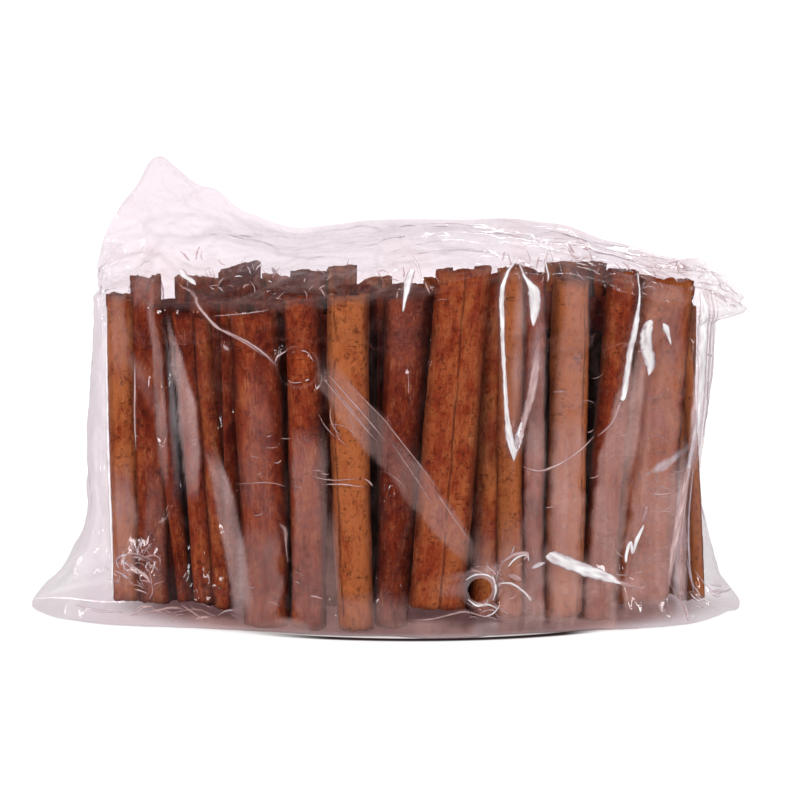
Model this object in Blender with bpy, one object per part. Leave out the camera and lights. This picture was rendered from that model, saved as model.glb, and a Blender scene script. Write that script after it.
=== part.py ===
"""A clear film bag packed with upright cinnamon sticks, as one solid out to the film.

The bag is a tube of film closed at the foot and at the head. It stands on its flat foot,
whose two corners lie out to the sides as ears. The walls lean on the upright sticks and show
them as shallow ribs. Over the stick ends the film draws in to a low ridge: at the left its
corner stands up as a peak, and at the right it droops outwards as a third ear.

Metres, +Z up, the front towards -Y. The shape is worked out about the middle of the sticks and
then moved, so that the origin is on the floor under the middle of the whole bag.
"""

import math

import bmesh
import bpy
from mathutils import Vector

# The sticks: how far they fill the bag to each side, to the front and to the back
STICK_PITCH = 0.0158
LEFT_STICKS = 0.0735
RIGHT_STICKS = 0.0735
FRONT_STICKS = 0.0290
BACK_STICKS = 0.0270
FRONT_PLACE = 0.0120

# The film's walls. The left one stands off the sticks and leans in towards the head
FILM_SLACK = 0.0015
LEFT_SLACK = 0.0045
LEFT_LEAN = 0.0035
LEFT_LEAN_START = 0.035
WAIST_DEPTH = 0.0030
WAIST_HEIGHT = 0.037
WAIST_SPREAD = 0.015
FOOT_FLARE = 0.0015
FOOT_FLARE_HEIGHT = 0.012
WALL_SQUARENESS = 2.0
WALL_ROUNDING = 0.50
RIB_DEPTH = 0.0010
RIB_END = 0.90

# The foot's ears: how far each stands out past the wall, and how high it reaches up the wall
LEFT_EAR = 0.0145
LEFT_EAR_RISE = 0.029
RIGHT_EAR = 0.0080
RIGHT_EAR_RISE = 0.020
EAR_EDGE = 0.0008
EAR_CURVE = 1.7
EAR_SQUARENESS = 2.0
EAR_ROUNDING = 0.85

# The shoulder, where the wall turns in over the stick ends
SHOULDER_HEIGHT = 0.0775
FRONT_LIFT = 0.0085
FRONT_LIFT_PLACE = 0.030
FRONT_LIFT_SPREAD = 0.034
FRONT_LIFT_END = 0.50
RIGHT_END_DROP = 0.0060
RIGHT_END_START = 0.82

# The third ear, at the right end of the head
TOP_EAR = 0.0055
TOP_EAR_DEPTH = 0.0060

# The ridge of the head, as places along the bag and heights, from the left end to the right
RIDGE = (
    (-0.0750, 0.0800),
    (-0.0730, 0.0920),
    (-0.0680, 0.1035),
    (-0.0600, 0.1112),
    (-0.0550, 0.1085),
    (-0.0500, 0.1048),
    (-0.0440, 0.1030),
    (-0.0390, 0.0975),
    (-0.0330, 0.0938),
    (-0.0220, 0.0925),
    (0.0050, 0.0940),
    (0.0400, 0.0935),
    (0.0480, 0.0915),
    (0.0610, 0.0872),
    (0.0740, 0.0835),
    (0.0805, 0.0750),
)
RIDGE_OFFSET = 0.0050
RIDGE_HALF_THICKNESS = 0.0006
ROOF_BULGE = 0.70
PEAK_PLACE = -0.0600
PEAK_SPREAD = 0.0200
PEAK_PINCH = 2.2

# How finely the surface is divided
COLUMNS = 152
EAR_LEVELS = (0.0032, 0.0065, 0.0105, 0.0155, 0.0215, 0.0285)
WALL_LEVELS = (0.0360, 0.0440, 0.0540, 0.0640, 0.0715, SHOULDER_HEIGHT)
ROOF_STEPS = 9

FILM_COLOUR = (0.62, 0.42, 0.34, 1.0)
FILM_ROUGHNESS = 0.25


def fade(value):
    """A smooth step from 0 to 1 as value goes from 0 to 1."""
    value = min(1.0, max(0.0, value))
    return value * value * (3.0 - 2.0 * value)


def blend(first, second, share):
    return first + (second - first) * share


def bump(value, place, spread):
    return math.exp(-(((value - place) / spread) ** 2))


def curve_through(points, x):
    """The height at x of a smooth curve through points, which are in order of their x."""
    last = len(points) - 2
    i = min(last, max(0, sum(1 for point in points if point[0] <= x) - 1))

    def slope(k):
        before = points[max(0, k - 1)]
        after = points[min(last + 1, k + 1)]
        return (after[1] - before[1]) / (after[0] - before[0])

    (x0, z0), (x1, z1) = points[i], points[i + 1]
    width = x1 - x0
    t = min(1.0, max(0.0, (x - x0) / width))
    rise = fade(t)
    swing = slope(i) * t * (1.0 - t) ** 2 - slope(i + 1) * t * t * (1.0 - t)
    return blend(z0, z1, rise) + width * swing


def foot_ear_share(side, z):
    """How much of the foot's ear (1 at the floor, 0 at its top) there is at height z."""
    rise = LEFT_EAR_RISE if side < 0 else RIGHT_EAR_RISE
    return max(0.0, 1.0 - max(0.0, z - EAR_EDGE) / (rise - EAR_EDGE))


def top_ear_share(side, z):
    """How much of the head's ear there is at height z. Only the right side has one."""
    if side < 0:
        return 0.0
    return fade((z - (SHOULDER_HEIGHT - TOP_EAR_DEPTH)) / TOP_EAR_DEPTH)


def reach(side, z):
    """How far the film reaches out to one side at height z."""
    foot = foot_ear_share(side, z) ** EAR_CURVE
    if side < 0:
        lean = LEFT_LEAN * fade((z - LEFT_LEAN_START) / (SHOULDER_HEIGHT - LEFT_LEAN_START))
        return LEFT_STICKS + LEFT_SLACK - lean + LEFT_EAR * foot
    waist = WAIST_DEPTH * bump(z, WAIST_HEIGHT, WAIST_SPREAD)
    top = TOP_EAR * top_ear_share(side, z)
    return RIGHT_STICKS + FILM_SLACK - waist + RIGHT_EAR * foot + top


def plan_depth(x, front, z, side, pointed):
    """How far the film reaches out to the front or back over x, at height z."""
    place = FRONT_PLACE if front else 0.0
    sticks = FRONT_STICKS if front else BACK_STICKS
    flare = FOOT_FLARE * (1.0 - fade(z / FOOT_FLARE_HEIGHT))
    half = reach(-1, z) + place if x < place else reach(1, z) - place
    squareness = blend(WALL_SQUARENESS, EAR_SQUARENESS, pointed)
    rounding = blend(WALL_ROUNDING, EAR_ROUNDING, pointed)
    fullness = max(0.0, 1.0 - min(1.0, abs(x - place) / half) ** squareness) ** rounding
    return (sticks + FILM_SLACK + flare) * fullness


def rib(x, along):
    """How far the film sinks between two sticks at x. It fades out towards the bag's sides."""
    hollow = abs(math.sin(math.pi * x / STICK_PITCH)) ** 1.5
    return RIB_DEPTH * (1.0 - hollow) * fade((RIB_END - abs(along)) / (1.0 - RIB_END))


def lift(x, front, along, z):
    """How much higher than at the left the shoulder is, in its share at height z."""
    rise = FRONT_LIFT * bump(x, FRONT_LIFT_PLACE, FRONT_LIFT_SPREAD) if front else 0.0
    rise *= fade((1.0 - along) / (1.0 - FRONT_LIFT_END))
    drop = RIGHT_END_DROP * fade((along - RIGHT_END_START) / (1.0 - RIGHT_END_START))
    return (rise - drop) * fade(z / SHOULDER_HEIGHT)


def wall_point(turn, z):
    """A point of the film's wall: turn goes once round, from the right tip by the back."""
    along = math.cos(turn)
    side = -1 if along < 0 else 1
    front = math.sin(turn) < 0
    pointed = max(foot_ear_share(side, z), top_ear_share(side, z))
    x = reach(side, z) * along
    depth = plan_depth(x, front, z, side, pointed)
    depth = max(0.0, depth - rib(x, along))
    return Vector((x, -depth if front else depth, z + lift(x, front, along, z)))


def ridge_point(turn):
    along = math.cos(turn)
    x = reach(-1 if along < 0 else 1, SHOULDER_HEIGHT) * along
    thickness = RIDGE_HALF_THICKNESS * math.sin(turn)
    return Vector((x, RIDGE_OFFSET * (1.0 - along * along) + thickness, curve_through(RIDGE, x)))


def roof_point(turn, rise):
    """A point between the shoulder (rise 0) and the ridge (rise 1)."""
    start = wall_point(turn, SHOULDER_HEIGHT)
    end = ridge_point(turn)
    near_peak = bump(end.x, PEAK_PLACE, PEAK_SPREAD)
    inward = 1.0 - (1.0 - rise) ** blend(1.0, PEAK_PINCH, near_peak)
    upward = rise ** blend(ROOF_BULGE, 1.0, near_peak)
    return Vector((
        blend(start.x, end.x, rise),
        blend(start.y, end.y, inward),
        blend(start.z, end.z, upward),
    ))


def rings():
    """The loft's rings of points, from the floor to the ridge."""
    turns = [2.0 * math.pi * i / COLUMNS for i in range(COLUMNS)]
    for z in (0.0, EAR_EDGE, *EAR_LEVELS, *WALL_LEVELS):
        yield [wall_point(turn, z) for turn in turns]
    for step in range(1, ROOF_STEPS + 1):
        yield [roof_point(turn, step / ROOF_STEPS) for turn in turns]


def close_ridge(mesh, ring):
    """Closes the ridge with strips that join each back vertex to the front one before it."""
    for i in range(COLUMNS // 2):
        corners = [ring[i], ring[i + 1], ring[-i - 1], ring[-i]]
        mesh.faces.new(list(dict.fromkeys(corners)))


def bag_mesh():
    mesh = bmesh.new()
    lofted = [[mesh.verts.new(point) for point in ring] for ring in rings()]
    for lower, upper in zip(lofted, lofted[1:]):
        for i in range(COLUMNS):
            mesh.faces.new((lower[i - 1], lower[i], upper[i], upper[i - 1]))
    mesh.faces.new(lofted[0][::-1])
    close_ridge(mesh, lofted[-1])
    bmesh.ops.recalc_face_normals(mesh, faces=mesh.faces)
    places = [vertex.co for vertex in mesh.verts]
    middle = [(min(p[k] for p in places) + max(p[k] for p in places)) / 2.0 for k in range(2)]
    bmesh.ops.translate(mesh, verts=mesh.verts, vec=(-middle[0], -middle[1], 0.0))
    data = bpy.data.meshes.new("cinnamon_bag")
    mesh.to_mesh(data)
    mesh.free()
    return data


def film_material():
    material = bpy.data.materials.new("film_over_sticks")
    material.use_nodes = True
    shader = material.node_tree.nodes["Principled BSDF"]
    shader.inputs["Base Color"].default_value = FILM_COLOUR
    shader.inputs["Roughness"].default_value = FILM_ROUGHNESS
    shader.inputs["Metallic"].default_value = 0.0
    return material


def build():
    for leftover in list(bpy.data.objects):
        bpy.data.objects.remove(leftover)
    collection = bpy.data.collections.new("bag_of_cinnamon_sticks")
    bpy.context.scene.collection.children.link(collection)
    bag = bpy.data.objects.new("cinnamon_bag", bag_mesh())
    bag.data.materials.append(film_material())
    bag.data.shade_smooth()
    bag.data.set_sharp_from_angle(angle=math.radians(50.0))
    collection.objects.link(bag)


build()
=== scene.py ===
"""A clear film bag packed with upright cinnamon sticks: the sticks, the film and a small stage."""

import math
import random

import bmesh
import bpy
import numpy as np
from bpy.props import FloatProperty, FloatVectorProperty, IntProperty, PointerProperty
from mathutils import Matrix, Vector, noise
from mathutils.bvhtree import BVHTree


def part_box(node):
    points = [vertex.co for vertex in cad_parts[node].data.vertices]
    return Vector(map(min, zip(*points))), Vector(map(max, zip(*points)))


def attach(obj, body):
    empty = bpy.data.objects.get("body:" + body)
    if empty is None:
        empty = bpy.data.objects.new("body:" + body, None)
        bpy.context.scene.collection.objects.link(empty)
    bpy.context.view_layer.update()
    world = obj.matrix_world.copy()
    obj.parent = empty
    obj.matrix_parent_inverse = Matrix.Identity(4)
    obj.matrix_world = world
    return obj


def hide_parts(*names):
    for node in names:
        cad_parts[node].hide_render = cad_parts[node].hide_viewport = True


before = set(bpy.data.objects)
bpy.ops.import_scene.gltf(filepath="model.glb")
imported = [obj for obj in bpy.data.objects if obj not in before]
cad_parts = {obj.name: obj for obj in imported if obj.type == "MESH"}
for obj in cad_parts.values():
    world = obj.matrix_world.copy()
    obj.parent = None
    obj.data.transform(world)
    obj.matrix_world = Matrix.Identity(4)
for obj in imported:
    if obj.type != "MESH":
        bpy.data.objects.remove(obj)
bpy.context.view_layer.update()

bl_info = {
    "name": "Bag of Cinnamon Sticks",
    "version": (1, 0, 0),
    "blender": (4, 5, 0),
    "location": "View3D > Sidebar > Cinnamon",
    "description": "Makes a clear film bag packed with rolled cinnamon bark",
    "category": "Object",
}

BAG = "cinnamon_bag"
BODY = "root"
MM = 0.001

# The sticks' middle in the bag: the left ear is longer than the right one
BAG_LOW, BAG_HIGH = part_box(BAG)
BAG_WIDTH = BAG_HIGH.x - BAG_LOW.x
MIDDLE = Vector((BAG_WIDTH * 0.0271, 0.001, 0.0))

# ---------------------------------------------------------------- settings


class BarkSettings(bpy.types.PropertyGroup):
    thickness: FloatProperty(
        name="Bark Thickness", description="Thickness of the rolled bark",
        default=1.2 * MM, min=0.3 * MM, unit="LENGTH")
    dark: FloatVectorProperty(
        name="Dark Bark", description="Colour of the darkest sticks",
        subtype="COLOR", size=3, default=(0.120, 0.0085, 0.0030), min=0.0, max=1.0)
    middle: FloatVectorProperty(
        name="Red-Brown Bark", description="Colour of most sticks",
        subtype="COLOR", size=3, default=(0.300, 0.044, 0.0105), min=0.0, max=1.0)
    pale: FloatVectorProperty(
        name="Tan Bark", description="Colour of the palest sticks",
        subtype="COLOR", size=3, default=(0.515, 0.158, 0.044), min=0.0, max=1.0)
    # The colour of the painted shade at the sticks' edges, rolled-in parts and ends; pits and cracks take it too
    grime: FloatVectorProperty(
        name="Grime", description="Colour of the edges and the rolled-in parts",
        subtype="COLOR", size=3, default=(0.045, 0.006, 0.003), min=0.0, max=1.0)
    seed: IntProperty(
        name="Seed", description="Seed of the loose sticks behind the front row", default=7)


class FilmSettings(bpy.types.PropertyGroup):
    tint: FloatVectorProperty(
        name="Film Tint", description="What one layer of film lets through",
        subtype="COLOR", size=3, default=(0.93, 0.880, 0.908), min=0.0, max=1.0)
    # The haze also carries the painted glints, highlights and reflections on the film
    haze: FloatVectorProperty(
        name="Haze", description="Colour of the milky bloom on the film",
        subtype="COLOR", size=3, default=(0.78, 0.68, 0.735), min=0.0, max=1.0)
    blush: FloatVectorProperty(
        name="Blush", description="Colour of the bloom where the film lies on the bark",
        subtype="COLOR", size=3, default=(0.67, 0.40, 0.365), min=0.0, max=1.0)


class StageSettings(bpy.types.PropertyGroup):
    floor: FloatVectorProperty(
        name="Floor", description="Colour of the floor",
        subtype="COLOR", size=3, default=(0.3, 0.3, 0.3), min=0.0, max=1.0)
    lens: FloatProperty(name="Lens", description="Focal length in millimetres", default=111.4)
    distance: FloatProperty(
        name="Distance", description="From the camera to the bag", default=0.605, unit="LENGTH")
    elevation: FloatProperty(
        name="Elevation", description="Height of the camera above level",
        default=math.radians(12.0), subtype="ANGLE")


# ---------------------------------------------------------------- nodes


class Nodes:
    """Adds nodes to a tree. An input may be a plain value or another node's output."""

    def __init__(self, tree):
        self.tree = tree

    def add(self, kind, inputs=None, **settings):
        node = self.tree.nodes.new(kind)
        for name, value in settings.items():
            setattr(node, name, value)
        for key, value in (inputs or {}).items():
            self.feed(node.inputs[key], value)
        return node

    def feed(self, socket, value):
        if isinstance(value, bpy.types.NodeSocket):
            self.tree.links.new(value, socket)
        else:
            socket.default_value = value

    def math(self, operation, *values, clamp=False):
        node = self.add("ShaderNodeMath", operation=operation, use_clamp=clamp)
        for socket, value in zip(node.inputs, values):
            self.feed(socket, value)
        return node.outputs[0]

    def times(self, *values):
        result = values[0]
        for value in values[1:]:
            result = self.math("MULTIPLY", result, value)
        return result

    def plus(self, *values):
        result = values[0]
        for value in values[1:]:
            result = self.math("ADD", result, value)
        return result

    def minus(self, first, second):
        return self.math("SUBTRACT", first, second)

    def between(self, value, low, high, to_low=0.0, to_high=1.0, smooth=True):
        """The value's place between low and high, taken to to_low and to_high, held at the ends."""
        node = self.add("ShaderNodeMapRange", interpolation_type="SMOOTHSTEP" if smooth else "LINEAR")
        for key, number in zip(("Value", "From Min", "From Max", "To Min", "To Max"),
                               (value, low, high, to_low, to_high)):
            self.feed(node.inputs[key], number)
        return node.outputs["Result"]

    def vector(self, x=0.0, y=0.0, z=0.0):
        return self.add("ShaderNodeCombineXYZ", {"X": x, "Y": y, "Z": z}).outputs[0]

    def split(self, vector):
        return self.add("ShaderNodeSeparateXYZ", {"Vector": vector}).outputs

    def stretch(self, vector, by):
        node = self.add("ShaderNodeVectorMath", {0: vector, 1: by}, operation="MULTIPLY")
        return node.outputs[0]

    def noise(self, vector, scale=1.0, detail=2.0, roughness=0.5, distortion=0.0):
        node = self.add("ShaderNodeTexNoise", {
            "Vector": vector, "Scale": scale, "Detail": detail,
            "Roughness": roughness, "Distortion": distortion})
        return node.outputs["Factor" if "Factor" in node.outputs else "Fac"]

    def mix_colour(self, share, first, second, blend="MIX"):
        node = self.add("ShaderNodeMix", data_type="RGBA", blend_type=blend)
        self.feed(node.inputs["Factor"], share)
        self.feed(node.inputs[6], first)
        self.feed(node.inputs[7], second)
        return node.outputs[2]

    def attribute(self, name, kind="FLOAT"):
        return self.add("GeometryNodeInputNamedAttribute", {"Name": name}, data_type=kind).outputs[0]

    def store(self, geometry, name, value, kind="FLOAT"):
        return self.add(
            "GeometryNodeStoreNamedAttribute",
            {"Geometry": geometry, "Name": name, "Value": value},
            data_type=kind, domain="POINT").outputs[0]


def new_tree(name, kind, inputs, outputs):
    """A node group with named sockets, given as (name, socket type, default)."""
    tree = bpy.data.node_groups.new(name, kind)
    for socket_name, socket_type, default in inputs:
        socket = tree.interface.new_socket(socket_name, in_out="INPUT", socket_type=socket_type)
        if default is not None:
            socket.default_value = default
    for socket_name, socket_type in outputs:
        tree.interface.new_socket(socket_name, in_out="OUTPUT", socket_type=socket_type)
    return tree, Nodes(tree), tree.nodes.new("NodeGroupInput").outputs, tree.nodes.new("NodeGroupOutput").inputs


def new_material(name):
    material = bpy.data.materials.new(name)
    material.use_nodes = True
    tree = material.node_tree
    tree.nodes.clear()
    nodes = Nodes(tree)
    output = tree.nodes.new("ShaderNodeOutputMaterial")
    return material, nodes, output.inputs["Surface"]


def place_group(nodes, group, inputs):
    node = nodes.add("ShaderNodeGroup", node_tree=group)
    for key, value in inputs.items():
        nodes.feed(node.inputs[key], value)
    return node.outputs


# ---------------------------------------------------------------- bark finishes


def bark_grain_group():
    """Fibres, pits, cracks and pale scars of dry bark, laid out in millimetres along the stick."""
    tree, n, given, out = new_tree(
        "Bark Grain", "ShaderNodeTree",
        [("Grain", "NodeSocketVector", None), ("Fibre", "NodeSocketFloat", 1.0),
         ("Cracks", "NodeSocketFloat", 1.0)],
        [("Streaks", "NodeSocketFloat"), ("Patches", "NodeSocketFloat"),
         ("Scars", "NodeSocketFloat"), ("Pits", "NodeSocketFloat"), ("Height", "NodeSocketFloat")])
    grain = given["Grain"]
    fine = n.noise(n.stretch(grain, (2.4, 0.30, 1.0)), detail=5.0, roughness=0.7)
    broad = n.noise(n.stretch(grain, (0.55, 0.05, 1.0)), detail=3.0, roughness=0.6)
    streaks = n.plus(n.times(fine, 0.6), n.times(broad, 0.4))
    patches = n.noise(n.stretch(grain, (0.20, 0.10, 1.0)), detail=6.0, roughness=0.75, distortion=0.3)
    mottle = n.noise(n.stretch(grain, (1.0, 0.72, 1.0)), detail=5.0, roughness=0.8)
    dashes = n.noise(n.stretch(grain, (1.5, 0.26, 1.0)), detail=4.0, roughness=0.75, distortion=0.2)
    dashes = n.times(n.between(dashes, 0.53, 0.66), n.between(patches, 0.40, 0.60))
    scars = n.math("MAXIMUM", n.times(n.between(mottle, 0.54, 0.70), 0.7), dashes)
    pits = n.between(mottle, 0.46, 0.32)
    wander = n.noise(n.stretch(grain, (0.5, 0.15, 1.0)), detail=2.0)
    across = n.noise(n.stretch(grain, (0.10, 0.55, 1.0)), detail=2.0, distortion=0.4)
    crack = n.between(n.math("ABSOLUTE", n.minus(across, 0.5)), 0.012, 0.0)
    crack = n.times(crack, n.between(wander, 0.52, 0.64), given["Cracks"])
    place = n.split(grain)
    seam_at = n.plus(n.times(n.math("SINE", n.times(place["Z"], 12.9)), 3.6),
                     n.times(n.minus(n.noise(n.vector(0.0, n.times(place["Y"], 0.05), place["Z"]), detail=3.0), 0.5), 3.0))
    from_seam = n.math("ABSOLUTE", n.minus(place["X"], seam_at))
    seam = n.times(n.between(from_seam, 0.30, 0.12),
                   n.math("GREATER_THAN", n.math("SINE", n.times(place["Z"], 7.3)), -0.1),
                   n.between(wander, 0.36, 0.46), given["Cracks"])
    crack = n.math("MAXIMUM", crack, seam)
    height = n.plus(
        n.times(fine, given["Fibre"], 0.5), n.times(broad, 0.5), n.times(scars, 0.25),
        n.times(pits, -0.35), n.times(crack, -0.9), n.times(mottle, 0.7))
    for key, value in (("Streaks", streaks), ("Patches", patches), ("Scars", scars),
                       ("Pits", n.math("MAXIMUM", pits, crack)), ("Height", height)):
        n.feed(out[key], value)
    return tree


def bark_colour_group(bark):
    """One stick's colour: its own tone, mottled with darker and paler patches and streaks, and darkened by painted
    shade at its edges, rolled-in parts and ends.
    """
    tree, n, given, out = new_tree(
        "Bark Colour", "ShaderNodeTree",
        [("Tone", "NodeSocketFloat", 0.5), ("Streaks", "NodeSocketFloat", 0.5),
         ("Patches", "NodeSocketFloat", 0.5), ("Scars", "NodeSocketFloat", 0.0),
         ("Pits", "NodeSocketFloat", 0.0), ("Grime", "NodeSocketFloat", 0.0)],
        [("Color", "NodeSocketColor")])
    moved = n.plus(
        given["Tone"], n.times(n.minus(given["Patches"], 0.5), 2.1),
        n.times(n.minus(given["Streaks"], 0.5), 1.2))
    low = n.mix_colour(n.between(moved, 0.0, 0.5, smooth=False), (*bark.dark, 1.0), (*bark.middle, 1.0))
    colour = n.mix_colour(n.between(moved, 0.5, 1.0, smooth=False), low, (*bark.pale, 1.0))
    colour = n.mix_colour(n.times(given["Scars"], 0.50), colour, (0.60, 0.235, 0.095, 1.0))
    colour = n.mix_colour(n.times(given["Pits"], 0.55), colour, (*bark.grime, 1.0))
    # Painted shade: the edges, the rolled-in parts and the ends are darkened
    colour = n.mix_colour(n.times(given["Grime"], 0.72), colour, (*bark.grime, 1.0))
    n.feed(out["Color"], colour)
    return tree


def bark_material(name, bark, grain_group, colour_group, tone_shift, roughness, bump, fibre, cracks):
    material, n, surface = new_material(name)
    grain = n.add("ShaderNodeAttribute", attribute_name="grain", attribute_type="GEOMETRY")
    tone = n.add("ShaderNodeAttribute", attribute_name="tone", attribute_type="GEOMETRY")
    grime = n.add("ShaderNodeAttribute", attribute_name="grime", attribute_type="GEOMETRY")
    marks = place_group(n, grain_group, {
        "Grain": grain.outputs["Vector"], "Fibre": fibre, "Cracks": cracks})
    colour = place_group(n, colour_group, {
        "Tone": n.plus(tone.outputs["Fac"], tone_shift), "Streaks": marks["Streaks"],
        "Patches": marks["Patches"], "Scars": marks["Scars"], "Pits": marks["Pits"],
        "Grime": grime.outputs["Fac"]})
    relief = n.add("ShaderNodeBump", {
        "Height": marks["Height"], "Strength": bump, "Distance": 0.5 * MM})
    shader = n.add("ShaderNodeBsdfPrincipled", {
        "Base Color": colour["Color"],
        "Roughness": n.between(marks["Streaks"], 0.2, 0.8, roughness + 0.1, roughness - 0.1),
        "Normal": relief.outputs["Normal"], "Specular IOR Level": 0.14})
    n.feed(surface, shader.outputs[0])
    return material


def bark_materials(bark):
    """Outer bark, the smooth inner side and the cut ends, in that order."""
    if "outer_bark" in bpy.data.materials:
        return [bpy.data.materials[name] for name in ("outer_bark", "inner_bark", "cut_bark")]
    grain, colour = bark_grain_group(), bark_colour_group(bark)
    return [
        bark_material("outer_bark", bark, grain, colour, 0.0, 0.62, 0.9, 1.0, 1.0),
        bark_material("inner_bark", bark, grain, colour, -0.22, 0.7, 0.5, 0.8, 0.2),
        bark_material("cut_bark", bark, grain, colour, -0.08, 0.8, 0.7, 0.4, 0.0)]


# ---------------------------------------------------------------- rolled bark

STATION_NUMBERS = (
    "width", "lobe", "flatness", "wrap_left", "wrap_right", "crown", "length", "taper",
    "spin", "twist", "slant", "tone", "seed", "wrinkle")


def rolled_bark_tree():
    """Rolls one sheet of bark round each station: a single roll, a double roll or an open gutter."""
    tree, n, given, out = new_tree(
        "Rolled Bark", "GeometryNodeTree",
        [("Geometry", "NodeSocketGeometry", None), ("Across", "NodeSocketInt", 60),
         ("Along", "NodeSocketInt", 90), ("Tuck", "NodeSocketFloat", 1.9 * MM),
         ("Lumps", "NodeSocketFloat", 0.5 * MM), ("Fibres", "NodeSocketFloat", 0.16 * MM),
         ("Ragged End", "NodeSocketFloat", 0.9 * MM), ("Bark", "NodeSocketMaterial", None)],
        [("Geometry", "NodeSocketGeometry")])

    sheet = n.add("GeometryNodeMeshGrid", {
        "Size X": 1.0, "Size Y": 1.0, "Vertices X": given["Across"], "Vertices Y": given["Along"]})
    place = n.split(n.add("GeometryNodeInputPosition").outputs[0])
    sheet = n.store(sheet.outputs["Mesh"], "across", n.plus(place["X"], 0.5))
    sheet = n.store(sheet, "up", n.plus(place["Y"], 0.5))
    copies = n.add("GeometryNodeInstanceOnPoints", {"Points": given["Geometry"], "Instance": sheet})
    sheets = n.add("GeometryNodeRealizeInstances", {"Geometry": copies.outputs[0]}).outputs[0]

    number = {name: n.attribute(name) for name in STATION_NUMBERS}
    across, up = n.attribute("across"), n.attribute("up")
    lean, bow = n.attribute("lean", "FLOAT_VECTOR"), n.attribute("bow", "FLOAT_VECTOR")
    here = n.split(n.add("GeometryNodeInputPosition").outputs[0])
    foot_x = n.minus(here["X"], n.minus(across, 0.5))
    foot_y = n.minus(here["Y"], n.minus(up, 0.5))
    foot_z = here["Z"]

    # The section: a flat front of twice the lobe's length, and a roll at each end of it
    side = n.minus(n.times(across, 2.0), 1.0)
    sign = n.math("SIGN", side)
    q = n.math("ABSOLUTE", side)
    half = n.times(number["width"], 0.5)
    centre = n.times(half, number["lobe"])
    radius = n.minus(half, centre)
    right = n.math("GREATER_THAN", side, 0.0)
    wrap = n.plus(n.times(right, number["wrap_right"]),
                  n.times(n.minus(1.0, right), number["wrap_left"]))
    arc = n.times(radius, wrap, 0.88)
    strip = n.plus(centre, arc)
    flat_share = n.math("DIVIDE", centre, strip)
    turned = n.math("DIVIDE", n.math("MAXIMUM", n.minus(q, flat_share), 0.0), n.minus(1.0, flat_share))
    turn = n.times(wrap, turned)
    tuck = n.times(given["Tuck"], n.math("GREATER_THAN", wrap, math.pi),
                   n.between(turn, 0.45 * math.pi, 1.15 * math.pi))
    tuck = n.plus(tuck, n.times(given["Tuck"], 0.9, n.math("MAXIMUM", n.minus(
        n.math("DIVIDE", turn, 2.0 * math.pi), 0.6), 0.0)))
    rolled = n.math("MAXIMUM", n.minus(radius, tuck), 0.4 * MM)
    flat_part = n.math("MINIMUM", n.math("DIVIDE", q, n.math("MAXIMUM", flat_share, 0.001)), 1.0)
    section_x = n.times(sign, n.plus(n.times(flat_part, centre), n.times(rolled, n.math("SINE", turn))))
    facing = n.math("COSINE", turn)
    bulge = n.times(number["crown"], n.math("MAXIMUM", n.minus(
        1.0, n.math("POWER", n.math("DIVIDE", section_x, half), 2.0)), 0.0))
    bulge = n.times(bulge, n.math("MAXIMUM", facing, 0.0))
    section_y = n.times(n.minus(n.times(rolled, facing, -1.0), bulge), number["flatness"])

    # Along the stick: taper, wobble and twist
    key = n.times(number["seed"], 37.0)
    wobble = n.noise(n.vector(n.times(up, 2.6), key, 3.0), detail=2.0)
    swell = n.plus(1.0, n.times(n.minus(wobble, 0.5), 0.16),
                   n.times(number["taper"], n.minus(up, 0.5)))
    section_x, section_y = n.times(section_x, swell), n.times(section_y, swell)
    spin = n.plus(number["spin"], n.times(number["twist"], n.minus(up, 0.5)))
    cosine, sine = n.math("COSINE", spin), n.math("SINE", spin)
    x = n.minus(n.times(section_x, cosine), n.times(section_y, sine))
    y = n.plus(n.times(section_x, sine), n.times(section_y, cosine))
    end = n.math("POWER", n.math("ABSOLUTE", n.minus(n.times(up, 2.0), 1.0)), 7.0)
    notch = n.noise(n.vector(n.times(across, 11.0), key, n.times(up, 2.0)), detail=3.0)
    height = n.plus(
        n.times(up, number["length"]), n.times(end, given["Ragged End"], n.minus(notch, 0.5), 2.0),
        n.times(end, number["slant"], section_x, n.minus(up, 0.5), 2.0))
    arch = n.minus(1.0, n.math("POWER", n.minus(n.times(up, 2.0), 1.0), 2.0))
    lean_xyz, bow_xyz = n.split(lean), n.split(bow)
    placed = n.vector(
        n.plus(foot_x, x, n.times(lean_xyz["X"], up), n.times(bow_xyz["X"], arch)),
        n.plus(foot_y, y, n.times(lean_xyz["Y"], up), n.times(bow_xyz["Y"], arch)),
        n.plus(foot_z, height))
    grain = n.vector(
        n.times(side, strip, 1000.0), n.times(up, number["length"], 1000.0), key)
    sheets = n.store(sheets, "grain", grain, "FLOAT_VECTOR")
    # Painted shade: darker towards the roll's edges, in its rolled-in part and at both ends, a little uneven
    uneven = n.noise(n.vector(n.times(up, 9.0), key, n.times(side, 2.0)), detail=3.0)
    grime = n.times(n.between(n.math("ABSOLUTE", n.math("DIVIDE", section_x, half)), 0.62, 1.02),
                    n.between(uneven, 0.3, 0.7, 0.55, 1.15))
    grime = n.math("MAXIMUM", grime, n.between(turn, 0.8 * math.pi, 1.15 * math.pi))
    grime = n.math("MAXIMUM", grime, n.times(
        n.between(n.math("ABSOLUTE", n.minus(n.times(up, 2.0), 1.0)), 0.955, 1.0), 0.7))
    sheets = n.store(sheets, "grime", n.math("MINIMUM", grime, 1.0))
    moved = n.add("GeometryNodeSetPosition", {"Geometry": sheets, "Position": placed}).outputs[0]

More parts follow.
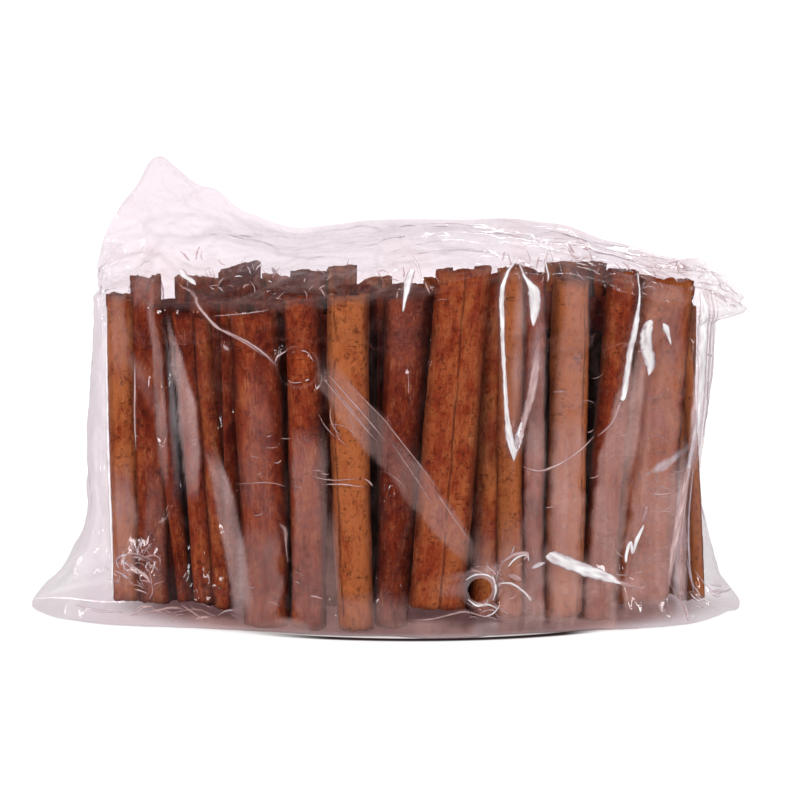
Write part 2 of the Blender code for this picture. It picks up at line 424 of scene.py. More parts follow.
    # Relief: broad lumps, lengthwise ridges and creases across
    grain = n.attribute("grain", "FLOAT_VECTOR")
    lumps = n.noise(n.stretch(grain, (0.16, 0.055, 1.0)), detail=2.0)
    ridges = n.noise(n.stretch(grain, (0.75, 0.035, 1.0)), detail=3.0, roughness=0.6)
    folds = n.noise(n.stretch(grain, (0.05, 0.42, 1.0)), detail=2.0, distortion=0.5)
    crease = n.between(n.math("ABSOLUTE", n.minus(folds, 0.5)), 0.05, 0.0)
    relief = n.plus(
        n.times(n.minus(lumps, 0.5), 2.0, given["Lumps"]),
        n.times(n.minus(ridges, 0.5), 2.0, given["Fibres"]),
        n.times(crease, number["wrinkle"], -0.35 * MM))
    shift = n.stretch(n.add("GeometryNodeInputNormal").outputs[0], n.vector(relief, relief, relief))
    moved = n.add("GeometryNodeSetPosition", {"Geometry": moved, "Offset": shift}).outputs[0]
    smooth = n.add("GeometryNodeSetShadeSmooth", {"Geometry": moved}).outputs[0]
    finished = n.add("GeometryNodeSetMaterial", {"Geometry": smooth, "Material": given["Bark"]})
    n.feed(out["Geometry"], finished.outputs[0])
    return tree


def roll_sticks(name, stations, across, along, bark):
    """Makes one piece of all the sticks that stand at the given stations."""
    mesh = bpy.data.meshes.new(name + "_stations")
    mesh.from_pydata([tuple(s["foot"]) for s in stations], [], [])
    for key in STATION_NUMBERS:
        mesh.attributes.new(key, "FLOAT", "POINT").data.foreach_set(
            "value", [float(s[key]) for s in stations])
    for key in ("lean", "bow"):
        mesh.attributes.new(key, "FLOAT_VECTOR", "POINT").data.foreach_set(
            "vector", [float(v) for s in stations for v in s[key]])
    piece = bpy.data.objects.new(name, mesh)
    bpy.context.scene.collection.objects.link(piece)
    materials = bark_materials(bark)
    tree = bpy.data.node_groups.get("Rolled Bark") or rolled_bark_tree()
    roll = piece.modifiers.new("Roll", "NODES")
    roll.node_group = tree
    wanted = {"Across": across, "Along": along, "Bark": materials[0]}
    for item in tree.interface.items_tree:
        if item.item_type == "SOCKET" and item.in_out == "INPUT" and item.name in wanted:
            roll[item.identifier] = wanted[item.name]
    bake_modifiers(piece)
    piece.data.materials.clear()
    for material in materials:
        piece.data.materials.append(material)
    wall = piece.modifiers.new("Wall", "SOLIDIFY")
    wall.thickness = bark.thickness
    wall.offset = -1.0
    wall.use_quality_normals = True
    wall.material_offset = 1
    wall.material_offset_rim = 2
    bake_modifiers(piece)
    for key in [a.name for a in piece.data.attributes if a.name in STATION_NUMBERS and a.name != "tone"]:
        piece.data.attributes.remove(piece.data.attributes[key])
    for key in ("lean", "bow", "across", "up"):
        if key in piece.data.attributes:
            piece.data.attributes.remove(piece.data.attributes[key])
    return piece


def bake_modifiers(piece):
    """Turns a piece with its modifiers into a plain mesh."""
    bpy.context.view_layer.update()
    evaluated = piece.evaluated_get(bpy.context.evaluated_depsgraph_get())
    mesh = bpy.data.meshes.new_from_object(evaluated, preserve_all_data_layers=True,
                                           depsgraph=bpy.context.evaluated_depsgraph_get())
    old = piece.data
    piece.modifiers.clear()
    piece.data = mesh
    bpy.data.meshes.remove(old)
    mesh.name = piece.name


def settle(piece):
    """Hangs the finished piece on the body it rides on, and hides the bag's part from the CAD that the pieces stand in
    for.
    """
    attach(piece, BODY)
    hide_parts(BAG)


# ---------------------------------------------------------------- where the sticks stand

SINGLE, DOUBLE, GUTTER = "single", "double", "gutter"

# The front row, left to right, in millimetres from the sticks' middle: foot x, top x, front y,
# foot z, top z, width at the foot, width at the top, kind of roll, tone, wrinkles
FRONT_ROW = (
    (-68.6, -68.5, -8.0, 2.5, 78.4, 7.2, 7.2, SINGLE, 0.82, 0.2),
    (-62.0, -62.3, -6.5, 2.0, 83.0, 8.2, 7.7, DOUBLE, 0.34, 0.3),
    (-53.8, -60.2, -7.5, 2.2, 76.0, 4.6, 4.0, SINGLE, 0.36, 0.2),
    (-49.0, -52.9, -13.0, 3.5, 74.8, 5.6, 5.8, SINGLE, 0.40, 0.2),
    (-43.6, -48.5, -14.0, 2.5, 74.0, 5.8, 4.3, SINGLE, 0.55, 0.1),
    (-33.4, -35.7, -21.8, 0.3, 76.8, 11.2, 12.0, GUTTER, 0.38, 0.4),
    (-23.2, -24.3, -23.8, 0.3, 81.0, 8.4, 9.0, SINGLE, 0.42, 0.3),
    (-11.8, -13.4, -25.4, 0.3, 81.4, 8.6, 9.9, GUTTER, 0.97, 0.2),
    (-3.6, 1.2, -23.6, 0.3, 80.8, 8.2, 11.8, SINGLE, 0.24, 0.3),
    (7.4, 13.4, -29.0, 7.0, 88.2, 13.7, 12.4, DOUBLE, 0.66, 0.4),
    (18.6, 20.0, -22.5, 3.0, 84.0, 7.0, 5.4, SINGLE, 0.72, 0.2),
    (25.0, 24.4, -23.0, 3.0, 87.2, 6.6, 6.2, SINGLE, 0.95, 0.2),
    (30.8, 30.2, -20.5, 2.8, 85.8, 6.0, 5.8, SINGLE, 0.34, 0.5),
    (37.9, 38.8, -21.0, 2.4, 83.8, 9.6, 9.0, SINGLE, 1.0, 0.2),
    (45.6, 51.4, -18.0, 0.9, 85.8, 8.6, 7.3, SINGLE, 0.50, 0.5),
    (57.0, 62.3, -14.5, 4.6, 83.4, 14.6, 13.3, DOUBLE, 0.70, 1.6),
    (72.2, 67.0, -1.0, 1.2, 72.0, 4.9, 4.8, SINGLE, 0.95, 0.2),
)

ROLLS = {
    SINGLE: {"lobe": 0.05, "wrap_left": 0.9 * math.pi, "wrap_right": 1.5 * math.pi, "flatness": 0.92},
    DOUBLE: {"lobe": 0.52, "wrap_left": 1.35 * math.pi, "wrap_right": 1.3 * math.pi, "flatness": 1.0},
    GUTTER: {"lobe": 0.22, "wrap_left": 0.72 * math.pi, "wrap_right": 0.8 * math.pi, "flatness": 0.8},
}


def station(foot, top, width, taper, roll, tone, wrinkle, spin, dice):
    """Everything that the rolling needs to know of one stick. Foot and top are points."""
    kind = ROLLS[roll]
    return {
        "foot": foot, "lean": (top.x - foot.x, top.y - foot.y, 0.0), "length": top.z - foot.z,
        "bow": (dice.uniform(-0.5, 0.5) * MM, dice.uniform(-0.3, 0.3) * MM, 0.0),
        "width": width, "taper": taper, "lobe": kind["lobe"], "flatness": kind["flatness"],
        "wrap_left": kind["wrap_left"] * dice.uniform(0.94, 1.05),
        "wrap_right": kind["wrap_right"] * dice.uniform(0.94, 1.05),
        "crown": dice.uniform(0.3, 0.6) * MM if kind["lobe"] < 0.4 else 0.9 * MM,
        "spin": spin, "twist": dice.uniform(-0.12, 0.12), "slant": dice.uniform(-0.12, 0.12),
        "tone": tone, "seed": dice.random(), "wrinkle": wrinkle}


def front_stations():
    dice = random.Random(21)
    stations = []
    for foot_x, top_x, front, foot_z, top_z, foot_w, top_w, roll, tone, wrinkle in FRONT_ROW:
        width = 0.5 * (foot_w + top_w)
        kind = ROLLS[roll]
        depth = 0.5 * width * (1.0 - kind["lobe"]) * kind["flatness"] + 0.5
        foot = MIDDLE + Vector((foot_x, front + depth, foot_z)) * MM
        top = MIDDLE + Vector((top_x, front + depth, top_z)) * MM
        stations.append(station(foot, top, width * MM, (top_w - foot_w) / width, roll, tone,
                                wrinkle, 0.0 if roll != SINGLE else dice.uniform(-0.3, 0.3), dice))
    return stations


# The back row: place along the bag, width and height of its top, in millimetres
BACK_ROW = (
    (-64.5, 8.5, 72.0), (-51.2, 11.5, 79.4), (-41.2, 11.0, 81.6), (-32.2, 7.6, 79.2), (-23.9, 9.4, 80.2),
    (-15.6, 7.6, 81.0), (-7.4, 8.6, 77.8), (1.2, 7.8, 76.6), (9.6, 9.2, 77.4), (19.6, 10.4, 78.8),
    (30.0, 8.8, 80.4), (38.6, 8.6, 82.4), (46.4, 7.8, 82.8), (53.6, 7.8, 81.2), (61.4, 8.6, 78.0),
    (68.4, 6.6, 74.0))


def back_stations(bark):
    dice = random.Random(bark.seed)
    stations = []
    for x, width, top_z in BACK_ROW:
        along = x / 69.0
        y = 20.5 * math.sqrt(max(0.0, 1.0 - abs(along) ** 2.2)) + dice.uniform(-0.4, 0.4)
        roll = dice.choice((SINGLE, SINGLE, DOUBLE, GUTTER))
        foot = MIDDLE + Vector((x, y, dice.uniform(0.8, 2.5))) * MM
        top = MIDDLE + Vector((x + dice.uniform(-0.6, 0.6), y + dice.uniform(-0.5, 0.5), top_z)) * MM
        spin = math.pi - 0.6 * along + dice.uniform(-0.2, 0.2)
        stations.append(station(foot, top, width * MM, dice.uniform(-0.1, 0.1), roll,
                                dice.uniform(0.3, 0.95), dice.uniform(0.1, 0.6), spin, dice))
        stations[-1]["slant"] = dice.uniform(-0.35, 0.35)
    return stations


def inner_stations(bark):
    dice = random.Random(bark.seed + 1)
    stations = []
    rows = ((9, 61.0, 10.5), (11, 66.0, 0.5), (8, 50.0, -9.5))
    for count, half_width, y in rows:
        for i in range(count):
            x = half_width * (-1.0 + 2.0 * (i + 0.5) / count) + dice.uniform(-1.0, 1.0)
            width = dice.uniform(9.0, 11.5)
            roll = dice.choice((SINGLE, SINGLE, DOUBLE, DOUBLE, GUTTER))
            foot = MIDDLE + Vector((x, y + dice.uniform(-0.8, 0.8), dice.uniform(0.8, 3.5))) * MM
            top = foot + Vector((dice.uniform(-1.5, 1.5), dice.uniform(-0.8, 0.8), 0.0)) * MM
            top.z = dice.uniform(73.0, 80.5) * MM - max(0.0, -0.045 - x * MM) * 0.3
            # The inner sticks take the darkest tones: painted shade deep in the bag
            stations.append(station(foot, top, width * MM, dice.uniform(-0.1, 0.1), roll,
                                    dice.uniform(0.0, 0.4), 0.3, dice.uniform(0.0, 2.0 * math.pi), dice))
    return stations


# ---------------------------------------------------------------- the dark core: painted shade between the sticks


def core_mesh():
    """A dark lens between the inner sticks, up to under their ends: painted shade that stands for the deep shade there.
    """
    mesh = bmesh.new()
    steps, levels = 40, (6.0, 20.0, 40.0, 60.0, 70.0)
    rings = []
    for z in levels:
        ring = []
        for i in range(steps):
            turn = 2.0 * math.pi * i / steps
            x = 60.0 * math.cos(turn)
            y = 1.0 + 13.0 * math.sin(turn)
            ring.append(mesh.verts.new(MIDDLE + Vector((x, y, z)) * MM))
        rings.append(ring)
    for lower, upper in zip(rings, rings[1:]):
        for i in range(steps):
            mesh.faces.new((lower[i - 1], lower[i], upper[i], upper[i - 1]))
    mesh.faces.new(rings[0][::-1])
    mesh.faces.new(rings[-1])
    bmesh.ops.recalc_face_normals(mesh, faces=mesh.faces)
    data = bpy.data.meshes.new("dark_core")
    mesh.to_mesh(data)
    mesh.free()
    return data


def core_material():
    material, n, surface = new_material("dark_dust")
    place = n.add("ShaderNodeTexCoord").outputs["Object"]
    speck = n.noise(place, scale=900.0, detail=3.0)
    # Near black: painted shade
    colour = n.mix_colour(speck, (0.008, 0.001, 0.001, 1.0), (0.03, 0.006, 0.004, 1.0))
    relief = n.add("ShaderNodeBump", {"Height": speck, "Strength": 0.6, "Distance": 0.5 * MM})
    shader = n.add("ShaderNodeBsdfPrincipled", {
        "Base Color": colour, "Roughness": 0.95, "Specular IOR Level": 0.05,
        "Normal": relief.outputs["Normal"]})
    n.feed(surface, shader.outputs[0])
    return material


# ---------------------------------------------------------------- the film

# The bag's own sizes, about the sticks' middle, in millimetres
STICKS_REACH, STICKS_FRONT, STICKS_BACK, PLAN_FRONT_PLACE = 73.5, 29.0, 27.0, 12.0
SLACK, LEFT_SLACK, LEFT_LEAN, LEFT_LEAN_START = 1.5, 4.5, 3.5, 35.0
WAIST, WAIST_HEIGHT, WAIST_SPREAD = 3.0, 37.0, 15.0
FLARE, FLARE_HEIGHT = 0.6, 12.0
EAR_EDGE, EAR_CURVE = 0.8, 2.1
LEFT_EAR, LEFT_EAR_RISE, RIGHT_EAR, RIGHT_EAR_RISE = 14.5, 29.0, 8.0, 20.0
WALL_ROUNDING, EAR_ROUNDING, HEAD_ROUNDING = 0.50, 0.47, 0.8
SHOULDER, FRONT_LIFT, LIFT_PLACE, LIFT_SPREAD = 77.5, 8.5, 30.0, 34.0
RIGHT_DROP, RIGHT_DROP_START = 2.6, 0.82
TOP_EAR, TOP_EAR_DEPTH = 7.4, 3.6
RIDGE = (
    (-75.5, 79.0), (-73.6, 88.4), (-69.0, 98.4), (-64.0, 105.0), (-61.4, 109.8), (-58.8, 111.0),
    (-55.1, 108.2), (-50.2, 104.2), (-45.3, 102.6), (-40.4, 98.3), (-35.5, 96.2), (-30.6, 94.4),
    (-25.7, 93.6), (-20.9, 94.0), (-16.0, 94.4), (-11.1, 95.1), (-3.0, 95.5), (13.0, 95.4), (28.0, 95.4),
    (32.9, 94.8), (37.8, 94.4), (42.7, 93.0), (47.6, 90.9), (52.5, 89.8), (57.4, 88.5), (62.2, 86.9),
    (67.1, 86.2), (72.0, 86.4), (76.9, 83.6), (79.4, 80.8), (82.4, 77.0))

# Where the film's foot stands at the front, from the left ear to the right one
FOOT_LINE = (
    (-92.5, -4.0), (-86.0, -12.0), (-80.0, -15.4), (-74.0, -17.9), (-64.0, -19.9), (-54.6, -20.9), (-45.0, -22.2),
    (-35.0, -24.0), (-25.5, -26.0), (-15.8, -27.5), (-1.3, -28.2), (8.4, -28.6), (18.0, -27.6), (27.5, -26.2),
    (37.2, -24.4), (46.7, -22.8), (56.3, -21.6), (66.0, -19.0), (71.0, -16.6), (75.5, -12.4), (80.0, -6.0), (84.0, 0.0))
FOOT_LINE_HEIGHT = 9.0
RIDGE_OFFSET = 5.0
PEAK_PLACE, PEAK_SPREAD, PEAK_PINCH, ROOF_BULGE = -60.0, 20.0, 2.2, 0.7

# How finely the film is divided
FRONT_COLUMNS, BACK_COLUMNS = 330, 140
WALL_ROWS, ROOF_ROWS = 132, 46


SAG_ACROSS, SAG_UP, SAG_OVER, MOST_SAG, CLEARANCE = 0.05, 0.0014, 0.03, 7.0, 0.45
FOOT_BAND, ROOF_BIAS = 2.0, 1.0

# Vent holes: place, radius and how uneven the rim is
VENTS = (((-25.2, 64.5), 3.5, 0.12), ((17.6, 11.6), 2.9, 0.6))
PLEAT_STEP, PLEAT_HEIGHT = 0.35, 0.16

# Pleats and glints of the front: how white each is, and its course as (x, z, half width). Their whiteness is painted
# highlight; the whitest are painted glints
FRONT_PLEATS = (
    (0.97, ((25.4, 90.0, 0.2), (22.9, 86.4, 0.45), (22.1, 82.4, 0.62), (22.4, 72.9, 0.52),
            (23.0, 63.1, 0.48), (23.7, 53.4, 0.62), (24.5, 47.8, 1.0), (25.2, 44.6, 0.7), (25.5, 42.0, 0.15))),
    (0.97, ((26.4, 88.6, 0.15), (27.5, 86.6, 0.4), (28.7, 84.9, 0.85), (29.5, 83.4, 1.5), (29.7, 80.0, 1.4),
            (29.6, 77.6, 1.0), (29.4, 75.4, 0.15))),
    (0.97, ((27.4, 51.2, 0.3), (26.7, 47.8, 1.1), (25.9, 44.8, 0.9), (25.5, 42.2, 0.15))),
    (0.86, ((32.4, 89.4, 0.12), (32.8, 87.4, 0.25), (32.6, 85.6, 0.12))),
    (0.80, ((30.8, 72.0, 0.2), (30.6, 66.0, 0.9), (30.0, 60.0, 1.15), (29.0, 55.6, 1.0),
            (27.6, 50.6, 0.85), (26.4, 46.0, 0.8), (25.8, 42.6, 0.15))),
    (0.82, ((27.7, 40.4, 0.12), (31.9, 39.0, 0.3), (36.7, 40.7, 0.3), (41.4, 43.9, 0.22), (44.6, 47.0, 0.12))),
    (0.60, ((45.6, 47.0, 0.12), (48.5, 49.2, 0.3), (50.1, 52.4, 0.4), (51.2, 55.6, 0.3))),
    (0.97, ((51.1, 55.4, 0.5), (51.8, 57.2, 0.8), (52.8, 65.4, 0.8), (53.8, 74.4, 0.75), (54.3, 78.6, 0.35), (54.6, 85.6, 0.12))),
    (0.97, ((57.7, 75.0, 0.4), (56.8, 73.4, 1.4), (56.6, 70.2, 1.65), (57.3, 66.6, 1.6), (58.1, 63.4, 1.3), (57.7, 61.0, 0.15))),
    (0.95, ((60.5, 74.0, 0.2), (61.3, 72.6, 0.95), (62.2, 70.4, 0.5), (62.9, 68.2, 0.12))),
    (0.93, ((34.0, 18.6, 1.0), (34.8, 18.0, 1.6), (38.0, 16.8, 1.7), (42.0, 15.0, 1.6), (46.3, 13.0, 1.4), (49.6, 11.6, 0.9), (52.0, 10.6, 0.12))),
    (0.60, ((50.0, 11.8, 0.2), (52.8, 10.3, 0.5), (55.6, 9.2, 0.15))),
    (0.70, ((54.2, 10.0, 0.15), (56.6, 9.0, 0.3), (58.2, 9.4, 0.15))),
    (0.92, ((-22.8, 67.4, 0.12), (-21.6, 65.0, 0.34), (-22.2, 62.4, 0.2), (-23.4, 61.4, 0.12))),
    (0.90, ((-22.6, 61.6, 0.12), (-25.0, 60.9, 0.28), (-27.6, 61.6, 0.12))),
    (0.88, ((-28.4, 66.0, 0.12), (-26.4, 67.9, 0.26), (-23.6, 67.8, 0.12))),
    (0.84, ((-27.4, 67.6, 0.1), (-28.9, 64.8, 0.2), (-28.0, 62.0, 0.1))),
    (0.84, ((-30.6, 65.2, 0.12), (-29.8, 67.0, 0.24), (-27.6, 68.4, 0.12))),
    (0.94, ((20.6, 14.8, 0.12), (21.4, 11.6, 0.34), (20.8, 8.6, 0.12))),
    (0.94, ((14.8, 9.4, 0.12), (16.8, 7.8, 0.28), (19.4, 7.8, 0.3), (21.6, 6.6, 0.12))),
    (0.92, ((14.2, 14.2, 0.12), (16.4, 15.4, 0.3), (19.2, 15.2, 0.26), (20.8, 13.8, 0.12))),
    (0.92, ((22.0, 12.6, 0.12), (25.0, 11.9, 0.32), (28.4, 9.8, 0.3), (29.8, 8.0, 0.12))),
    (0.92, ((24.4, 16.2, 0.15), (26.6, 18.2, 0.4), (28.8, 18.8, 0.32), (29.4, 17.2, 0.12))),
    (0.92, ((18.6, 4.8, 0.1), (20.8, 5.4, 0.26), (22.4, 7.4, 0.12))),
    (0.78, ((22.4, 17.4, 0.15), (25.6, 18.8, 0.5), (29.0, 19.0, 0.6), (28.0, 17.4, 0.2))),
    (0.85, ((30.0, 15.2, 0.15), (31.6, 15.9, 0.62), (33.4, 16.6, 0.2))),
    (0.75, ((24.0, 14.2, 0.2), (26.4, 13.2, 0.7), (27.8, 12.4, 0.2))),
    (0.70, ((26.0, 11.4, 0.12), (28.0, 10.2, 0.3), (30.4, 8.0, 0.4))),
    (0.55, ((21.8, 14.6, 0.1), (24.0, 12.0, 0.2), (26.2, 11.0, 0.12))),
    (0.55, ((20.6, 8.2, 0.1), (22.6, 6.4, 0.26), (24.6, 4.8, 0.12))),
    (0.60, ((15.4, 17.4, 0.1), (17.0, 15.8, 0.22), (19.4, 15.2, 0.12))),
    (0.50, ((20.8, 14.0, 0.1), (22.4, 15.8, 0.2), (23.0, 19.0, 0.1))),
    (0.95, ((53.0, 15.4, 0.3), (53.3, 18.4, 0.5), (54.2, 20.2, 0.35), (54.6, 17.4, 0.36),
            (55.6, 20.4, 0.6), (56.8, 22.8, 0.4), (57.3, 24.0, 0.12))),
    (0.45, ((56.8, 24.6, 0.2), (57.6, 26.8, 0.5), (58.2, 29.4, 0.15))),
    (0.40, ((56.0, 14.0, 0.1), (58.6, 15.2, 0.2), (61.2, 16.8, 0.12), (61.4, 13.6, 0.1))),
    (0.42, ((71.8, 80.0, 0.1), (72.0, 66.0, 0.24), (71.4, 50.0, 0.2), (70.8, 38.0, 0.1))),
    (0.36, ((74.0, 78.0, 0.1), (74.1, 64.0, 0.2), (73.2, 50.0, 0.1))),
    (0.34, ((73.2, 76.0, 0.1), (73.0, 56.0, 0.3), (72.0, 44.0, 0.1))),
    (0.93, ((70.0, 80.4, 0.3), (70.8, 76.0, 1.2), (71.0, 69.0, 1.5), (70.8, 60.0, 1.2), (70.4, 52.0, 0.7), (70.0, 46.0, 0.15))),
    (0.60, ((72.6, 80.6, 0.2), (73.2, 72.0, 0.34), (73.0, 60.0, 0.3), (72.2, 44.0, 0.15))),
    (0.80, ((69.4, 52.0, 0.2), (69.2, 44.4, 0.6), (67.8, 36.6, 0.8), (66.0, 26.0, 0.95), (64.6, 17.0, 0.9), (63.4, 7.6, 0.3))),
    (0.70, ((68.8, 42.0, 0.12), (67.2, 28.0, 0.3), (66.4, 16.0, 0.3), (66.8, 6.0, 0.12))),
    (0.60, ((69.6, 40.0, 0.12), (68.4, 26.0, 0.26), (68.8, 14.0, 0.24), (70.4, 5.0, 0.12))),
    (0.84, ((-51.4, 81.2, 0.2), (-47.4, 77.3, 0.34), (-44.4, 73.9, 0.28), (-41.0, 72.3, 0.22),
            (-37.4, 70.4, 0.26), (-33.8, 67.9, 0.3), (-30.2, 64.6, 0.2))),
    (0.84, ((-50.4, 81.0, 0.12), (-46.9, 76.7, 0.2), (-42.8, 73.0, 0.22), (-38.0, 70.2, 0.22), (-33.2, 66.9, 0.12))),
    (0.60, ((-44.6, 76.4, 0.1), (-38.0, 77.2, 0.16), (-31.6, 78.4, 0.1))),
    (0.97, ((-54.0, 85.0, 0.2), (-53.1, 84.4, 0.7), (-51.7, 83.5, 0.55), (-50.3, 82.8, 0.55), (-49.6, 82.2, 0.12))),
    (0.70, ((-42.8, 69.2, 0.2), (-42.1, 68.6, 0.5), (-41.4, 68.0, 0.2))),
    (0.80, ((-65.0, 63.5, 0.1), (-65.1, 57.0, 0.24), (-65.3, 49.2, 0.24), (-65.1, 41.0, 0.1))),
    (0.62, ((-71.8, 12.4, 0.1), (-69.4, 14.4, 0.22), (-66.6, 15.4, 0.26), (-63.4, 15.0, 0.22), (-60.6, 14.2, 0.1))),
    (0.80, ((-67.6, 13.2, 0.12), (-65.0, 11.8, 0.34), (-62.8, 10.6, 0.4), (-61.4, 9.0, 0.2))),
    (0.50, ((-71.2, 11.2, 0.1), (-68.6, 10.4, 0.2), (-66.4, 9.4, 0.1))),
    (0.55, ((-64.6, 14.6, 0.1), (-64.9, 17.0, 0.18), (-64.4, 19.4, 0.08))),
    (0.55, ((-64.2, 14.6, 0.1), (-62.8, 17.0, 0.2), (-61.6, 18.4, 0.08))),
    (0.55, ((-65.4, 14.8, 0.1), (-66.8, 16.8, 0.16), (-67.4, 18.4, 0.08))),
    (0.62, ((-64.0, 14.2, 0.1), (-61.6, 15.6, 0.22), (-59.6, 15.2, 0.2), (-59.4, 13.2, 0.1))),
    (0.50, ((-63.0, 13.2, 0.1), (-60.8, 13.0, 0.2), (-59.6, 11.8, 0.1))),
    (0.50, ((-61.6, 9.6, 0.1), (-61.0, 7.8, 0.2), (-61.8, 6.2, 0.1))),
    (0.50, ((-66.6, 12.6, 0.08), (-64.6, 13.4, 0.18), (-62.4, 12.2, 0.08))),
    (0.66, ((-20.6, 63.6, 0.1), (-15.5, 57.6, 0.16), (-10.0, 50.8, 0.16), (-6.0, 46.0, 0.08))),
    (0.74, ((-19.2, 64.4, 0.1), (-14.6, 59.2, 0.15), (-9.4, 53.0, 0.18), (-4.4, 46.4, 0.08))),
    (0.66, ((-17.6, 61.0, 0.08), (-13.0, 55.2, 0.15), (-8.4, 49.0, 0.08))),
    (0.62, ((-14.2, 62.2, 0.08), (-4.0, 50.8, 0.15), (3.0, 42.6, 0.15), (8.0, 36.0, 0.08))),
    (0.60, ((-3.2, 46.6, 0.08), (1.8, 39.8, 0.14), (6.4, 32.8, 0.08))),
    (0.60, ((6.0, 37.6, 0.08), (10.4, 31.0, 0.16), (15.4, 23.4, 0.08))),
    (0.66, ((-22.6, 38.2, 0.08), (-17.0, 37.6, 0.15), (-11.0, 38.2, 0.08))),
    (0.74, ((-19.4, 36.4, 0.08), (-15.0, 36.7, 0.2), (-9.4, 36.0, 0.08))),
    (0.60, ((-40.0, 35.6, 0.08), (-34.0, 36.2, 0.15), (-28.4, 35.6, 0.08))),
    (0.97, ((1.6, 88.0, 0.6), (0.6, 85.0, 0.9), (-0.1, 82.0, 0.5), (-0.6, 78.8, 0.12))),
    (0.90, ((1.6, 90.4, 0.2), (3.0, 88.2, 0.3), (3.6, 85.4, 0.1))),
    (0.36, ((64.0, 43.6, 0.1), (60.0, 46.2, 0.16), (56.8, 44.4, 0.1))),
    (0.40, ((-30.0, 26.2, 0.1), (-28.6, 24.8, 0.5), (-28.4, 21.0, 0.2), (-28.0, 17.0, 0.1))),
    (0.58, ((1.0, 4.6, 0.1), (6.0, 4.9, 0.2), (11.0, 6.2, 0.24), (14.0, 6.6, 0.26), (18.0, 5.2, 0.22), (24.0, 3.4, 0.1))),
    (0.40, ((-57.0, 3.4, 0.1), (-50.0, 4.6, 0.2), (-45.0, 3.0, 0.1))),
    (0.55, ((-66.0, 2.6, 0.1), (-60.0, 3.9, 0.3), (-55.6, 4.8, 0.3), (-53.0, 4.4, 0.1))),
    (0.50, ((-54.0, 5.6, 0.1), (-50.6, 3.6, 0.3), (-47.6, 1.8, 0.1))),
    (0.50, ((-80.0, 3.6, 0.1), (-74.0, 3.0, 0.26), (-68.0, 3.2, 0.1))),
    (0.97, ((-71.4, 76.0, 0.1), (-71.8, 60.0, 0.24), (-71.9, 40.0, 0.34), (-71.7, 24.0, 0.4), (-71.4, 8.0, 0.2))),
    (0.50, ((66.0, 7.0, 0.1), (67.6, 3.4, 0.3), (68.2, 0.8, 0.1))),
    (0.45, ((70.0, 12.0, 0.1), (75.0, 6.0, 0.24), (82.0, 3.4, 0.1))),
    (0.42, ((68.0, 16.0, 0.1), (69.6, 9.0, 0.24), (73.0, 4.0, 0.1))),
)
